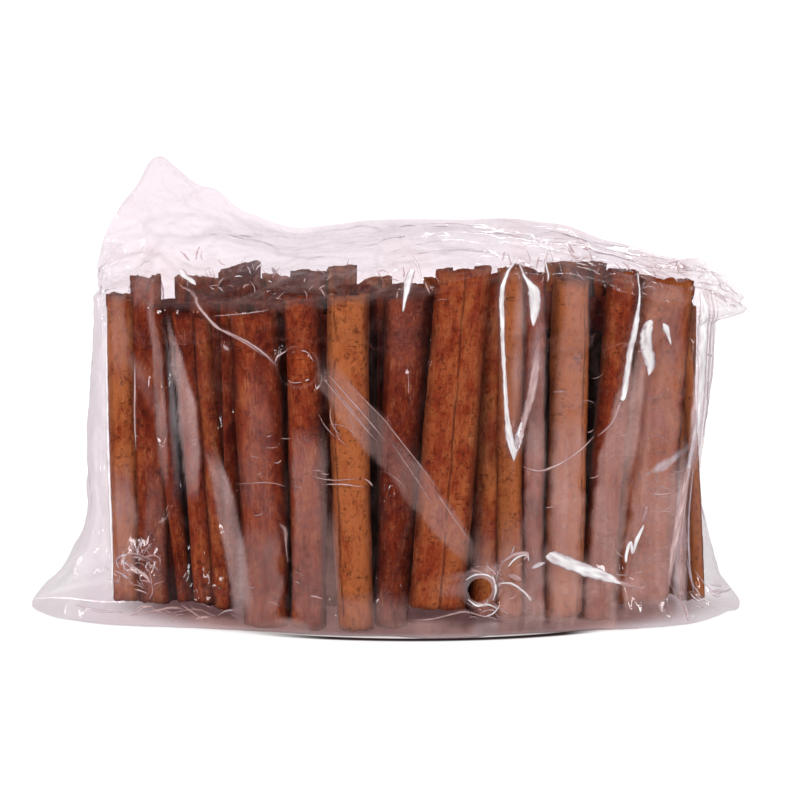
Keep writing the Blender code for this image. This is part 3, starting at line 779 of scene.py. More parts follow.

# Milky places of the front, in part film haze and in part painted reflections and highlights: strength, softness of the
# edge, blush, and the course as (x, z, half width)
FRONT_VEILS = (
    (0.19, 0.25, 1.0, ((-19.5, 64.5, 3.4), (-10.0, 52.0, 4.4), (4.0, 35.0, 4.2), (11.6, 25.2, 3.2), (15.4, 19.6, 1.8))),
    (0.36, 0.4, 0.75, ((-55.4, 72.0, 0.7), (-54.4, 63.5, 1.8), (-52.4, 54.0, 2.6), (-51.6, 44.0, 2.6), (-51.2, 33.6, 2.0))),
    (0.36, 0.35, 0.75, ((-46.0, 42.0, 1.8), (-44.4, 37.0, 2.4), (-42.4, 27.4, 3.0), (-40.5, 17.8, 2.9), (-38.8, 4.0, 2.8))),
    (0.17, 0.8, 0.1, ((-56.6, 66.0, 0.5), (-55.8, 56.0, 1.2), (-55.2, 38.0, 1.5))),
    (0.26, 0.5, 0.85, ((-60.4, 82.0, 0.8), (-59.4, 66.0, 1.4), (-58.6, 48.0, 1.6), (-58.0, 36.0, 1.4))),
    (0.12, 0.8, 0.9, ((-71.0, 66.0, 1.5), (-66.0, 63.0, 2.6), (-60.0, 52.0, 2.0))),
    (0.26, 0.6, 0.9, ((-68.4, 34.0, 3.0), (-68.4, 24.0, 3.4), (-68.4, 8.0, 3.4))),
    (0.14, 0.7, 1.0, ((-60.6, 34.0, 2.8), (-61.0, 8.0, 3.6))),
    (0.11, 0.8, 1.0, ((-34.6, 60.0, 4.6), (-35.0, 40.0, 5.4), (-34.0, 24.0, 5.4))),
    (0.19, 0.3, 1.0, ((-34.4, 24.0, 5.0), (-34.2, 9.0, 5.0), (-34.0, -4.0, 5.2))),
    (0.15, 0.25, 0.9, ((-22.8, 48.0, 4.4), (-22.5, 26.0, 4.6), (-22.5, -4.0, 4.6))),
    (0.10, 0.4, 0.9, ((-21.6, 26.0, 3.4), (-22.5, -4.0, 4.8))),
    (0.24, 0.4, 1.0, ((-17.4, 26.0, 1.6), (-17.2, -4.0, 2.0))),
    (0.14, 0.15, 1.0, ((-11.8, 9.0, 4.6), (-11.8, -4.0, 4.6))),
    (0.15, 0.2, 0.9, ((-3.4, 9.4, 4.2), (-3.4, -4.0, 4.6))),
    (0.07, 0.7, 0.9, ((0.0, 82.0, 5.4), (-0.4, 66.0, 5.2))),
    (0.30, 0.9, 0.9, ((26.6, 86.0, 1.6), (26.2, 70.0, 2.6), (26.0, 56.0, 2.2), (25.6, 46.0, 1.2))),
    (0.26, 0.5, 0.75, ((-62.4, 85.0, 3.2), (-62.3, 81.0, 2.8))),
    (0.18, 0.7, 0.5, ((-68.6, 80.0, 3.0), (-68.6, 64.0, 3.0))),
    (0.18, 0.7, 0.6, ((18.4, 22.0, 3.4), (18.6, 2.0, 4.0))),
    (0.40, 0.8, 0.8, ((14.6, 15.4, 1.8), (21.6, 16.0, 2.4), (26.0, 14.4, 2.0))),
    (0.30, 0.5, 1.0, ((25.2, 24.0, 3.4), (25.0, -4.0, 3.8))),
    (0.36, 0.8, 0.5, ((14.0, 12.4, 2.6), (19.0, 12.6, 5.0), (24.0, 11.4, 3.4))),
    (0.34, 0.5, 0.25, ((30.9, 75.0, 1.3), (30.6, 64.0, 1.5), (30.0, 58.0, 1.3))),
    (0.30, 0.5, 0.9, ((30.6, 74.0, 2.4), (30.6, 50.0, 2.7), (30.6, -4.0, 3.2))),
    (0.12, 0.6, 0.4, ((39.4, 90.0, 4.0), (39.0, 62.0, 4.2), (38.6, 46.0, 4.4))),
    (0.36, 0.6, 1.0, ((38.8, 52.0, 4.4), (38.4, 28.0, 5.0), (38.2, -4.0, 5.2))),
    (0.34, 0.35, 1.0, ((53.4, 62.0, 1.6), (51.6, 50.0, 4.0), (49.6, 36.0, 5.0), (48.0, 20.0, 5.0), (46.6, -4.0, 5.0))),
    (0.44, 0.6, 1.0, ((55.8, 68.0, 1.6), (54.6, 52.0, 2.6), (52.8, 36.0, 1.8))),
    (0.24, 0.5, 1.0, ((61.2, 86.0, 6.4), (60.6, 57.0, 6.8), (59.6, 30.0, 7.0), (58.0, 6.0, 6.6))),
    (0.38, 0.2, 1.0, ((61.4, 39.0, 6.4), (60.4, 27.0, 6.8), (58.8, 16.0, 6.8), (57.6, 5.0, 6.4))),
    # A painted highlight: a soft white spot on the bulge of a stick
    (0.94, 0.9, 0.0, ((59.4, 37.4, 0.8), (61.4, 38.4, 2.2), (63.4, 39.8, 1.6))),
    (0.52, 0.6, 0.4, ((66.4, 40.0, 1.2), (66.2, 26.0, 2.2), (66.6, 4.0, 2.4))),
    (0.60, 0.5, 0.3, ((71.0, 82.0, 1.6), (70.4, 60.0, 2.0), (69.4, 38.0, 1.8))),
    (0.34, 0.7, 1.0, ((-6.0, 1.6, 2.4), (3.0, 2.2, 3.0), (11.0, 2.6, 2.6))),
    (0.18, 0.6, 1.0, ((44.0, 4.2, 2.2), (58.0, 3.4, 2.6), (70.0, 4.0, 2.4))),
    (0.16, 0.6, 1.0, ((-72.0, 2.0, 2.0), (-54.0, 1.6, 2.4), (-38.0, 1.0, 2.2))),
)

# Bunches of fine creases at the front: seed, middle, half size, how many, the longest, and their
# turn in degrees or none for every way
# Their whiteness is painted highlight, as on the pleats
CRINKLES = (
    (31, (-65.6, 12.0), (4.4, 4.4), 26, 4.6, None),
    (32, (-66.4, 10.0), (4.0, 3.0), 10, 5.0, 150.0),
    (33, (20.6, 14.0), (5.4, 5.6), 22, 4.0, None),
    (34, (21.0, 5.6), (5.0, 1.8), 10, 4.0, 150.0),
    (35, (56.4, 17.0), (4.0, 6.0), 12, 4.4, None),
    (36, (60.6, 31.0), (4.2, 6.4), 12, 5.6, 0.0),
    (37, (67.2, 14.0), (1.8, 8.0), 10, 9.0, 98.0),
    (38, (76.0, 4.6), (5.0, 2.2), 12, 6.0, 160.0),
    (39, (-51.0, 3.6), (12.0, 1.6), 16, 5.0, 172.0),
    (40, (-8.0, 42.0), (9.0, 9.0), 8, 9.0, 130.0),
    (41, (48.0, 50.0), (18.0, 24.0), 12, 4.0, 0.0),
    (42, (-34.0, 30.0), (4.6, 24.0), 9, 4.0, 0.0),
    (43, (-23.0, 28.0), (4.0, 20.0), 7, 4.0, 0.0),
    (44, (-44.0, 84.0), (9.0, 3.4), 26, 3.4, None),
    (45, (-24.0, 83.0), (9.0, 2.8), 14, 3.0, None),
    (46, (0.0, 84.0), (8.0, 2.8), 14, 3.2, None),
    (47, (34.0, 88.0), (12.0, 2.8), 26, 3.6, None),
    (48, (60.0, 83.4), (10.0, 2.4), 20, 3.4, None),
)


def fade(value):
    """A smooth step from 0 to 1 as value goes from 0 to 1."""
    value = np.clip(value, 0.0, 1.0)
    return value * value * (3.0 - 2.0 * value)


def blend(first, second, share):
    return first + (second - first) * share


def hump(value, place, spread):
    return np.exp(-(((value - place) / spread) ** 2))


def smooth_height(points, x):
    """The height at each x of a smooth curve through points, which are in order of their x."""
    places = np.array([p[0] for p in points])
    heights = np.array([p[1] for p in points])
    slopes = np.gradient(heights, places)
    i = np.clip(np.searchsorted(places, x) - 1, 0, len(points) - 2)
    width = places[i + 1] - places[i]
    t = np.clip((x - places[i]) / width, 0.0, 1.0)
    swing = slopes[i] * t * (1.0 - t) ** 2 - slopes[i + 1] * t * t * (1.0 - t)
    return blend(heights[i], heights[i + 1], fade(t)) + width * swing


def ear_share(left, z):
    rise = np.where(left, LEFT_EAR_RISE, RIGHT_EAR_RISE)
    return np.clip(1.0 - np.maximum(0.0, z - EAR_EDGE) / (rise - EAR_EDGE), 0.0, 1.0)


def top_ear_share(left, z):
    return np.where(left, 0.0, fade((z - (SHOULDER - TOP_EAR_DEPTH)) / TOP_EAR_DEPTH))


def reach(left, z):
    """How far the film reaches out to the left or the right at height z."""
    foot = ear_share(left, z) ** EAR_CURVE
    lean = LEFT_LEAN * fade((z - LEFT_LEAN_START) / (SHOULDER - LEFT_LEAN_START))
    to_left = STICKS_REACH + LEFT_SLACK - lean + LEFT_EAR * foot
    waist = WAIST * hump(z, WAIST_HEIGHT, WAIST_SPREAD)
    to_right = STICKS_REACH + SLACK - waist + RIGHT_EAR * foot + TOP_EAR * top_ear_share(left, z)
    return np.where(left, to_left, to_right)


def wall_points(turn, z):
    """The film's wall at height z. The turn goes once round, from the right tip by the back."""
    along = np.cos(turn)
    left, front = along < 0.0, np.sin(turn) < 0.0
    side = np.where(left, -1.0, 1.0)
    x = reach(left, z) * along
    place = np.where(front, PLAN_FRONT_PLACE, 0.0)
    half = np.where(x < place, reach(True, z) + place, reach(False, z) - place)
    full = np.maximum(0.0, 1.0 - np.minimum(1.0, np.abs(x - place) / half) ** 2.0)
    rounding = blend(WALL_ROUNDING, EAR_ROUNDING, ear_share(left, z))
    full = full ** blend(rounding, HEAD_ROUNDING, top_ear_share(left, z) * fade((along - 0.6) / 0.4))
    flare = FLARE * (1.0 - fade(z / FLARE_HEIGHT))
    depth = (np.where(front, STICKS_FRONT, STICKS_BACK) + SLACK + flare) * full
    rise = np.where(front, FRONT_LIFT * hump(x, LIFT_PLACE, LIFT_SPREAD), 0.0)
    rise = rise * fade((1.0 - along * (side > 0)) / 0.5)
    drop = RIGHT_DROP * fade((along - RIGHT_DROP_START) / (1.0 - RIGHT_DROP_START))
    return np.stack((x, np.where(front, -depth, depth), z + (rise - drop) * fade(z / SHOULDER)), -1)


def roof_points(turn, rise):
    """The film between the shoulder (rise 0) and the ridge (rise 1)."""
    start = wall_points(turn, SHOULDER)
    along = np.cos(turn)
    x = reach(along < 0.0, SHOULDER) * along
    end = np.stack((x, RIDGE_OFFSET * (1.0 - along * along), smooth_height(RIDGE, x)), -1)
    near_peak = hump(x, PEAK_PLACE, PEAK_SPREAD)
    inward = 1.0 - (1.0 - rise) ** blend(1.0, PEAK_PINCH, near_peak)
    upward = rise ** blend(ROOF_BULGE, 1.0, near_peak)
    return np.stack((blend(start[:, 0], end[:, 0], rise), blend(start[:, 1], end[:, 1], inward),
                     blend(start[:, 2], end[:, 2], upward)), -1)


def even_turns(first, last, count):
    """Turns from first to last whose points stand evenly along the wall at half its height."""
    fine = np.linspace(first, last, 4000)
    places = wall_points(fine, 0.5 * SHOULDER)
    steps = np.linalg.norm(np.diff(places, axis=0), axis=1)
    walked = np.concatenate(([0.0], np.cumsum(steps)))
    return np.interp(np.linspace(0.0, walked[-1], count + 1), walked, fine)[:-1]


def film_grid():
    """The film's points, row by row from the floor to the ridge, and how far up the roof each row is."""
    turns = np.concatenate((even_turns(0.0, math.pi, BACK_COLUMNS),
                            even_turns(math.pi, 2.0 * math.pi, FRONT_COLUMNS)))
    rows = [wall_points(turns, z) for z in np.linspace(0.0, SHOULDER, WALL_ROWS)]
    rows += [roof_points(turns, r) for r in np.linspace(0.0, 1.0, ROOF_ROWS + 1)[1:]]
    roof = np.concatenate((np.zeros(WALL_ROWS), np.linspace(0.0, 1.0, ROOF_ROWS + 1)[1:]))
    return np.array(rows), roof, turns


def grid_normals(grid):
    """Outward normals of a grid whose rows go round the bag."""
    around = np.roll(grid, -1, axis=1) - np.roll(grid, 1, axis=1)
    upward = np.gradient(grid, axis=0)
    normals = np.cross(around, upward)
    length = np.linalg.norm(normals, axis=2, keepdims=True)
    return normals / np.maximum(length, 1e-9)


def cushion(field, steps, fall, axis):
    """Lets each low point hold its neighbours down, by a parabola that opens away from it."""
    result = field.copy()
    for step in range(1, steps + 1):
        for way in (-step, step):
            moved = np.roll(field, way, axis=axis)
            edge = [slice(None)] * 2
            edge[axis] = slice(None, way) if way > 0 else slice(way, None)
            moved[tuple(edge)] = FAR
            result = np.minimum(result, moved + fall * step * step)
    return result


FAR = 1000.0


def stick_fronts(tree, grid, side):
    """How far to the front (side -1) or the back (side 1) the sticks stand at each grid point."""
    reach_from = 60.0
    found = np.full(grid.shape[:2], FAR)
    for i, row in enumerate(grid):
        for j, point in enumerate(row):
            start = (MIDDLE + Vector((point[0], side * reach_from, point[2])) * MM)
            hit = tree.ray_cast(start, (0.0, -side, 0.0), reach_from * MM)
            if hit[0] is not None:
                found[i, j] = -side * (hit[0].y - MIDDLE.y) / MM
    return found

def stick_tops(tree, grid, first_row):
    """How high the sticks stand under each grid point of the roof."""
    found = np.full(grid.shape[:2], -FAR)
    for i in range(first_row, len(grid)):
        for j, point in enumerate(grid[i]):
            start = MIDDLE + Vector((point[0], point[1], 150.0)) * MM
            hit = tree.ray_cast(start, (0.0, 0.0, -1.0), 90.0 * MM)
            if hit[0] is not None:
                found[i, j] = hit[0].z / MM
    return found


def hug(tree, grid, columns, side, turns):
    """Draws the film in onto the sticks at the front (side -1) or back (side 1)."""
    part = grid[:, columns]
    along = np.cos(turns[columns])[None, :]
    fronts = -stick_fronts(tree, part, side)
    spacing = np.median(np.linalg.norm(np.diff(part[60], axis=0), axis=1))
    across = -cushion(-fronts, int(14.0 / spacing), SAG_ACROSS * spacing ** 2, 1)
    held = -cushion(-across, 40, SAG_OVER, 0)
    held[:WALL_ROWS] = np.maximum(held[:WALL_ROWS], -cushion(-across[:WALL_ROWS], 60, SAG_UP, 0))
    z = part[:, :, 2]
    if side < 0:
        foot = smooth_height(FOOT_LINE, part[:, :, 0])
        tuck = (1.0 - fade(z / FOOT_LINE_HEIGHT)) * fade((0.995 - np.abs(along)) / 0.05)
        part[:, :, 1] = blend(part[:, :, 1], np.minimum(foot, 0.0), tuck)
    freedom = fade(z / 14.0) * (1.0 - fade((z - 64.0) / 12.0)) * fade((1.0 - np.abs(along)) / 0.12)
    loft_depth = side * part[:, :, 1]
    depth = np.maximum(held + CLEARANCE, loft_depth - MOST_SAG * freedom)
    part[:, :, 1] = side * depth
    grid[:, columns] = part
    return np.clip(depth - CLEARANCE - fronts, 0.0, 20.0)


def lift_over_ends(tree, grid):
    """Lifts the roof clear of the stick ends."""
    tops = stick_tops(tree, grid, WALL_ROWS - 12)
    held = -cushion(-tops, 12, 0.03, 1)
    held = -cushion(-held, 12, 0.03, 0)
    grid[:, :, 2] = np.where(held > -FAR / 2, np.maximum(grid[:, :, 2], held + CLEARANCE), grid[:, :, 2])


def noise_at(points):
    return np.array([noise.noise(p) for p in points.reshape(-1, 3).tolist()]).reshape(points.shape[:-1])


def creased(points, scale):
    """Sharp-edged crumples: flat facets that meet in creases, about -1 to 1."""
    first = noise_at(points * scale)
    second = noise_at(points * scale + 31.7)
    return 2.4 * (np.abs(second) - np.abs(first)), first, second


def crumple(grid, roof, turns, gap):
    """Moves the film in and out of its smooth course. Returns how white its creases are: its milky haze, with the
    creases whitened as painted highlights.
    """
    along = np.cos(turns)[None, :] * np.ones(grid.shape[:2])
    z = grid[:, :, 2]
    rise = roof[:, None] * np.ones(grid.shape[:2])
    ear = np.maximum(fade((np.abs(along) - 0.93) / 0.05), 0.0)
    in_roof = fade(rise / 0.12)
    foot = 1.0 - fade(z / 5.0)
    calm = 1.0 - 0.3 * fade((0.80 - np.abs(along)) / 0.2)
    loose = np.clip(0.22 + 0.08 * gap, 0.0, 0.6) * (1.0 - in_roof) + calm * in_roof
    loose = np.maximum(loose, 0.55 * ear) * (1.0 - 0.75 * foot)
    loose = loose * (1.0 - 0.8 * fade((rise - 0.93) / 0.07))

    wall = grid * (1.0, 1.0, 0.42)
    top = grid * (0.34, 1.25, 1.25)
    warp = 2.5 * np.stack([noise_at(grid * 0.06 + s) for s in (3.0, 17.0, 29.0)], -1)
    whiteness = np.zeros(grid.shape[:2])
    shift = np.zeros(grid.shape[:2])
    for scale, size in ((0.075, 0.9), (0.16, 0.5), (0.36, 0.24), (0.8, 0.10)):
        a, a1, a2 = creased(wall + warp, scale)
        b, b1, b2 = creased(top + warp, scale * 1.15)
        shift += size * blend(a, b, in_roof)
        line = np.minimum(np.abs(blend(a1, b1, in_roof)), np.abs(blend(a2, b2, in_roof)))
        # Whiteness along each crease: painted highlight
        whiteness += size * np.exp(-(line / 0.035) ** 2)
    shift = (shift - ROOF_BIAS * in_roof) * loose
    tight = (gap < 6.0) & (rise < 0.3)
    shift = np.where(tight, np.maximum(shift, 0.12 * shift), shift)
    grid += grid_normals(grid) * shift[:, :, None]
    grid[:, :, 2] = np.maximum(grid[:, :, 2], 0.02)
    grid[0, :, 2] = 0.0
    sides = fade((np.abs(along) - 0.90) / 0.10)
    back = np.sin(turns)[None, :] > 0.0
    milk = 0.003 + np.where(back, 0.04, 0.0) * fade((z - 60.0) / 20.0)
    milk = np.maximum(milk, blend(0.0, 0.08, fade(rise / 0.7)) * in_roof)
    milk = np.maximum(milk, 0.05 * sides)
    milk = np.maximum(milk, 0.10 * fade((np.abs(along) - 0.93) / 0.05) * (1.0 - fade((z - 12.0) / 16.0)))
    return milk + (0.03 + 0.12 * in_roof) * whiteness * np.clip(loose * 1.2, 0.15, 1.0)


def distance_to_line(x, z, points, open_ends=False):
    """How far each (x, z) is from a line of (x, z, half width), in half widths there, and how
    far along the line. With open ends the line goes on past its first and last point."""
    best, place, gone = np.full(x.shape, FAR), np.zeros(x.shape), 0.0
    last = len(points) - 2
    for i, ((x0, z0, w0), (x1, z1, w1)) in enumerate(zip(points, points[1:])):
        dx, dz = x1 - x0, z1 - z0
        t = ((x - x0) * dx + (z - z0) * dz) / (dx * dx + dz * dz)
        held = np.clip(t, -FAR if open_ends and i == 0 else 0.0, FAR if open_ends and i == last else 1.0)
        away = np.hypot(x - x0 - held * dx, z - z0 - held * dz) / (w0 + np.clip(t, 0.0, 1.0) * (w1 - w0))
        length = math.hypot(dx, dz)
        place = np.where(away < best, gone + held * length, place)
        best = np.minimum(best, away)
        gone += length
    return best, place, gone


def rounded_line(points, steps=6):
    """A smooth line through points."""
    result = []
    for i in range(len(points) - 1):
        before, first = points[max(0, i - 1)], points[i]
        last, after = points[i + 1], points[min(len(points) - 1, i + 2)]
        for s in range(steps):
            t = s / steps
            result.append(tuple(
                0.5 * (2.0 * q + (r - p) * t + (2.0 * p - 5.0 * q + 4.0 * r - s4) * t * t
                       + (3.0 * q - p - 3.0 * r + s4) * t ** 3)
                for p, q, r, s4 in zip(before, first, last, after)))
    result.append(tuple(points[-1]))
    return result


def paint_wall(grid, columns, white, blush, pleats, veils):
    """One wall's folds and milky places, with painted glints and reflections among the haze: how milky the film is
    there and where it stands out.
    """
    part = grid[:, columns]
    x, z = part[:, :, 0], part[:, :, 2]
    veil, raised = np.zeros(x.shape), np.zeros(x.shape)
    warm = blush[:, columns]
    ragged = noise_at(part * 0.13) + 0.6 * noise_at(part * 0.35)
    veil_mottle = 1.0 + 0.30 * noise_at(part * 0.12 + 9.0) + 0.16 * noise_at(part * (0.7, 0.7, 1.6) + 4.0) + 0.42 * noise_at(part * (0.6, 0.6, 0.05) + 2.0)
    for strength, edge, pink, points in veils:
        away, place, length = distance_to_line(x, z, rounded_line(points), open_ends=True)
        soft = 2.0 + 24.0 * edge
        inside = np.minimum(place, length - place) + 2.2 * ragged
        share = strength * veil_mottle * fade((1.0 - away - 0.22 * ragged) / edge) * fade(inside / soft + 0.5)
        warm = np.where(share > veil, pink, warm)
        veil = np.maximum(veil, share)
    for strength, points in pleats:
        away = distance_to_line(x, z, rounded_line(points))[0]
        widest = max(point[2] for point in points)
        raised = np.maximum(raised, 0.5 * min(1.0, widest) * np.exp(-(away / 1.6) ** 2))
        # A milky halo round each pleat, part of its painted highlight
        veil = np.maximum(veil, 0.22 * strength * min(1.0, 2.0 * widest) * np.exp(-(away / 1.7) ** 2))
    band = 0.34 * (1.0 - fade((z - FOOT_BAND - 1.2 * ragged) / 1.6)) * fade((62.0 - np.abs(x)) / 16.0)
    veil = np.maximum(veil, band * (0.8 + 0.4 * ragged))
    grid[:, columns] = part + grid_normals(grid)[:, columns] * raised[:, :, None]
    white[:, columns] = np.maximum(white[:, columns], veil)
    blush[:, columns] = warm


def loose_pleats(seed, count):
    """Pleats and milky places scattered over a wall. The pleats are whitened as painted highlights."""
    dice = random.Random(seed)
    pleats, veils = [], []
    for _ in range(count):
        x, z = dice.uniform(-66.0, 66.0), dice.uniform(4.0, 74.0)
        turn = dice.choice((90.0, 90.0, 55.0, 125.0, 8.0)) + dice.uniform(-22.0, 22.0)
        length, bend = dice.uniform(5.0, 26.0), dice.uniform(-0.9, 0.9)
        width = dice.choice((0.16, 0.2, 0.24, 0.4, 0.9))
        points = []
        for step in range(5):
            points.append((x, z, width * (0.4, 0.9, 1.0, 0.8, 0.3)[step]))
            heading = math.radians(turn) + bend * (step / 4.0 - 0.5)
            x, z = x + 0.25 * length * math.cos(heading), z + 0.25 * length * math.sin(heading)
        if max(point[1] for point in points) < 84.0:
            pleats.append((dice.uniform(0.3, 0.9), tuple(points)))
    for _ in range(count // 3):
        x, z = dice.uniform(-62.0, 62.0), dice.uniform(8.0, 60.0)
        lean, high, width = dice.uniform(-10.0, 10.0), dice.uniform(8.0, 30.0), dice.uniform(1.5, 5.0)
        veils.append((dice.uniform(0.10, 0.30), 0.7, 1.0,
                      ((x, z, width), (x + 0.5 * lean, z + 0.5 * high, width), (x + lean, z + high, 0.6 * width))))
    return pleats, veils


def crinkles():
    """Short fine creases in bunches, whitened as painted highlights."""
    pleats = []
    for seed, (middle_x, middle_z), (wide, high), count, longest, turn in CRINKLES:
        dice = random.Random(seed)
        for _ in range(count):
            x, z = middle_x + wide * dice.uniform(-1.0, 1.0), middle_z + high * dice.uniform(-1.0, 1.0)
            heading = math.radians(dice.uniform(0.0, 180.0) if turn is None else turn + dice.uniform(-14.0, 14.0))
            bend, step = dice.uniform(-0.5, 0.5), 0.33 * longest * dice.uniform(0.35, 1.0)
            width = dice.choice((0.09, 0.12, 0.16, 0.24))
            points = []
            for share in (0.4, 1.0, 0.8, 0.3):
                points.append((x, z, width * share))
                x, z = x + step * math.cos(heading), z + step * math.sin(heading)
                heading += bend
            pleats.append((dice.uniform(0.35, 0.88), tuple(points)))
    return pleats


def cut_vent(mesh, radius, centre, inner=1.3, outer=2.0):
    """Opens a round hole in the front of the film and rounds off its edge."""
    middle = MIDDLE + Vector((centre[0], 0.0, centre[1])) * MM
    near = []
    for vertex in mesh.verts:
        if vertex.co.y < -0.005:
            away = math.hypot(vertex.co.x - middle.x, vertex.co.z - middle.z)
            if away < radius * outer:
                near.append((vertex, away))
    hole = [vertex for vertex, away in near if away < inner * MM]
    bmesh.ops.delete(mesh, geom=hole, context="VERTS")
    for vertex, away in near:
        if not vertex.is_valid:
            continue
        share = (away - inner * MM) / (radius * outer - inner * MM)
        wanted = radius * (1.0 + (outer - 1.0) * share)
        if vertex.is_boundary:
            wanted = radius
        scale = wanted / away
        vertex.co.x = middle.x + (vertex.co.x - middle.x) * scale
        vertex.co.z = middle.z + (vertex.co.z - middle.z) * scale


def zip_ridge(mesh, back, front):
    """Joins the two edges of the ridge, both from right to left, with a strip of triangles."""
    i = j = 0
    while i < len(back) - 1 or j < len(front) - 1:
        step_back = j == len(front) - 1 or (
            i < len(back) - 1 and back[i + 1].co.x > front[j + 1].co.x)
        if step_back:
            corners = (back[i], back[i + 1], front[j])
            i += 1
        else:
            corners = (back[i], front[j + 1], front[j])
            j += 1
        if len(set(corners)) == 3:
            mesh.faces.new(corners)


def sticks_tree():
    """All sticks as one search tree, for what lies on them."""
    points, faces = [], []
    for name in ("front_sticks_left", "front_sticks_right", "back_sticks", "inner_sticks"):
        mesh = bpy.data.objects[name].data
        first = len(points)
        points += [vertex.co.copy() for vertex in mesh.vertices]
        faces += [[first + v for v in face.vertices] for face in mesh.polygons]
    return BVHTree.FromPolygons(points, faces)


def even_course(points, step):
    """Places at even steps along a smooth line of (x, z, half width)."""
    line = np.array(rounded_line(points, 12))
    walked = np.concatenate(([0.0], np.cumsum(np.hypot(*np.diff(line[:, :2], axis=0).T))))
    stops = np.linspace(0.0, walked[-1], max(6, int(walked[-1] / step)))
    return np.stack([np.interp(stops, walked, line[:, k]) for k in range(3)], 1)


def lay_pleats(tree, pleats, side, mesh, levels):
    """Thin flat-topped pleats that lie on the film, whitened as painted highlights and glints. Their width and
    whiteness vary along them.
    """
    for number, (strength, points) in enumerate(pleats):
        course = even_course(points, PLEAT_STEP)
        widest = course[:, 2].max()
        spans = 8 if widest > 0.45 else 4
        rings = []
        for i, (x, z, width) in enumerate(course):
            before, after = course[max(0, i - 1)], course[min(len(course) - 1, i + 1)]
            way = Vector((after[0] - before[0], 0.0, after[1] - before[1])).normalized()
            flat = Vector((way.z, 0.0, -way.x))
            ring = []
            for k in range(spans + 1):
                u = 2.0 * k / spans - 1.0
                ragged = 0.42 if width < 0.5 else 0.24
                uneven = 1.0 + ragged * noise.noise((0.8 * x, 0.8 * z, 5.0 * number + 2.0 * (u > 0.0)))
                reach_out = u * width * uneven
                start = MIDDLE + Vector((x + flat.x * reach_out, side * 60.0, z + flat.z * reach_out)) * MM
                hit, normal, _, _ = tree.ray_cast(start, (0.0, -side, 0.0), 60.0 * MM)
                if hit is None:
                    ring = None
                    break
                normal = normal if normal.y * side > 0.0 else -normal
                height = min(PLEAT_HEIGHT, 0.8 * width) * (1.0 - u ** 4)
                vertex = mesh.verts.new(hit + normal * (height - 0.03) * MM)
                thin = 0.45 + 0.9 * noise.noise((0.3 * i * PLEAT_STEP, 2.2 * u, 3.0 * number))
                sheer = max(0.0, min(1.0, thin)) * (0.5 if strength < 0.9 else 0.34)
                tip = min(1.0, 0.25 + 5.0 * min(i, len(course) - 1 - i) / len(course)) if strength < 0.9 else 1.0
                # How white the pleat is here: painted highlight, solid to the tips on the glints
                vertex[levels[0]] = strength * tip * (1.0 - sheer) * (1.0 - 0.7 * abs(u) ** 4)
                vertex[levels[1]] = 0.75 * (strength < 0.85) * (abs(x) < 68.0)
                ring.append(vertex)
            if ring is None:
                break
            rings.append(ring)
        for lower, upper in zip(rings, rings[1:]):
            for k in range(spans):
                mesh.faces.new((lower[k], lower[k + 1], upper[k + 1], upper[k]))
            mesh.faces.new((lower[spans], lower[0], upper[0], upper[spans]))
        if len(rings) > 1:
            mesh.faces.new(rings[0][::-1])
            mesh.faces.new(rings[-1])


def ring_course(centre, radius, width, wobble, first, last):
    """A course round part of a vent hole, from one turn in degrees to another."""
    points = []
    for turn in np.linspace(math.radians(first), math.radians(last), 14):
        out = radius * (1.0 + wobble * noise.noise((math.cos(turn) * 1.3, math.sin(turn) * 1.3, radius)))
        swell = 0.35 + 0.65 * abs(noise.noise((2.0 * turn, radius, 0.5))) * 2.0
        points.append((centre[0] + out * math.cos(turn), centre[1] + out * math.sin(turn), width * swell))
    return tuple(points)


# The pleats, glints and vent rims as real strips on the film; their whiteness is painted highlight
def fold_mesh(film_piece):
    tree = BVHTree.FromPolygons([v.co.copy() for v in film_piece.data.vertices],
                                [list(f.vertices) for f in film_piece.data.polygons])
    mesh = bmesh.new()
    levels = [mesh.verts.layers.float.new(name) for name in ("bloom", "blush")]
    rims = []
    for centre, radius, wobble in VENTS:
        # The rims are whitened: painted highlights where the holes' edges catch the light
        for first, last, white in ((100.0, 230.0, 0.74), (-125.0, 95.0, 0.84), (20.0, 80.0, 0.84)):
            rims.append((white, ring_course(centre, radius + 0.4, 0.28 + 0.2 * wobble, wobble, first, last)))
    lay_pleats(tree, (*FRONT_PLEATS, *crinkles(), *rims), -1, mesh, levels)
    lay_pleats(tree, loose_pleats(8, 46)[0], 1, mesh, levels)
    bmesh.ops.recalc_face_normals(mesh, faces=mesh.faces)
    data = bpy.data.meshes.new("film_folds")
    mesh.to_mesh(data)
    mesh.free()
    data.shade_smooth()
    return data


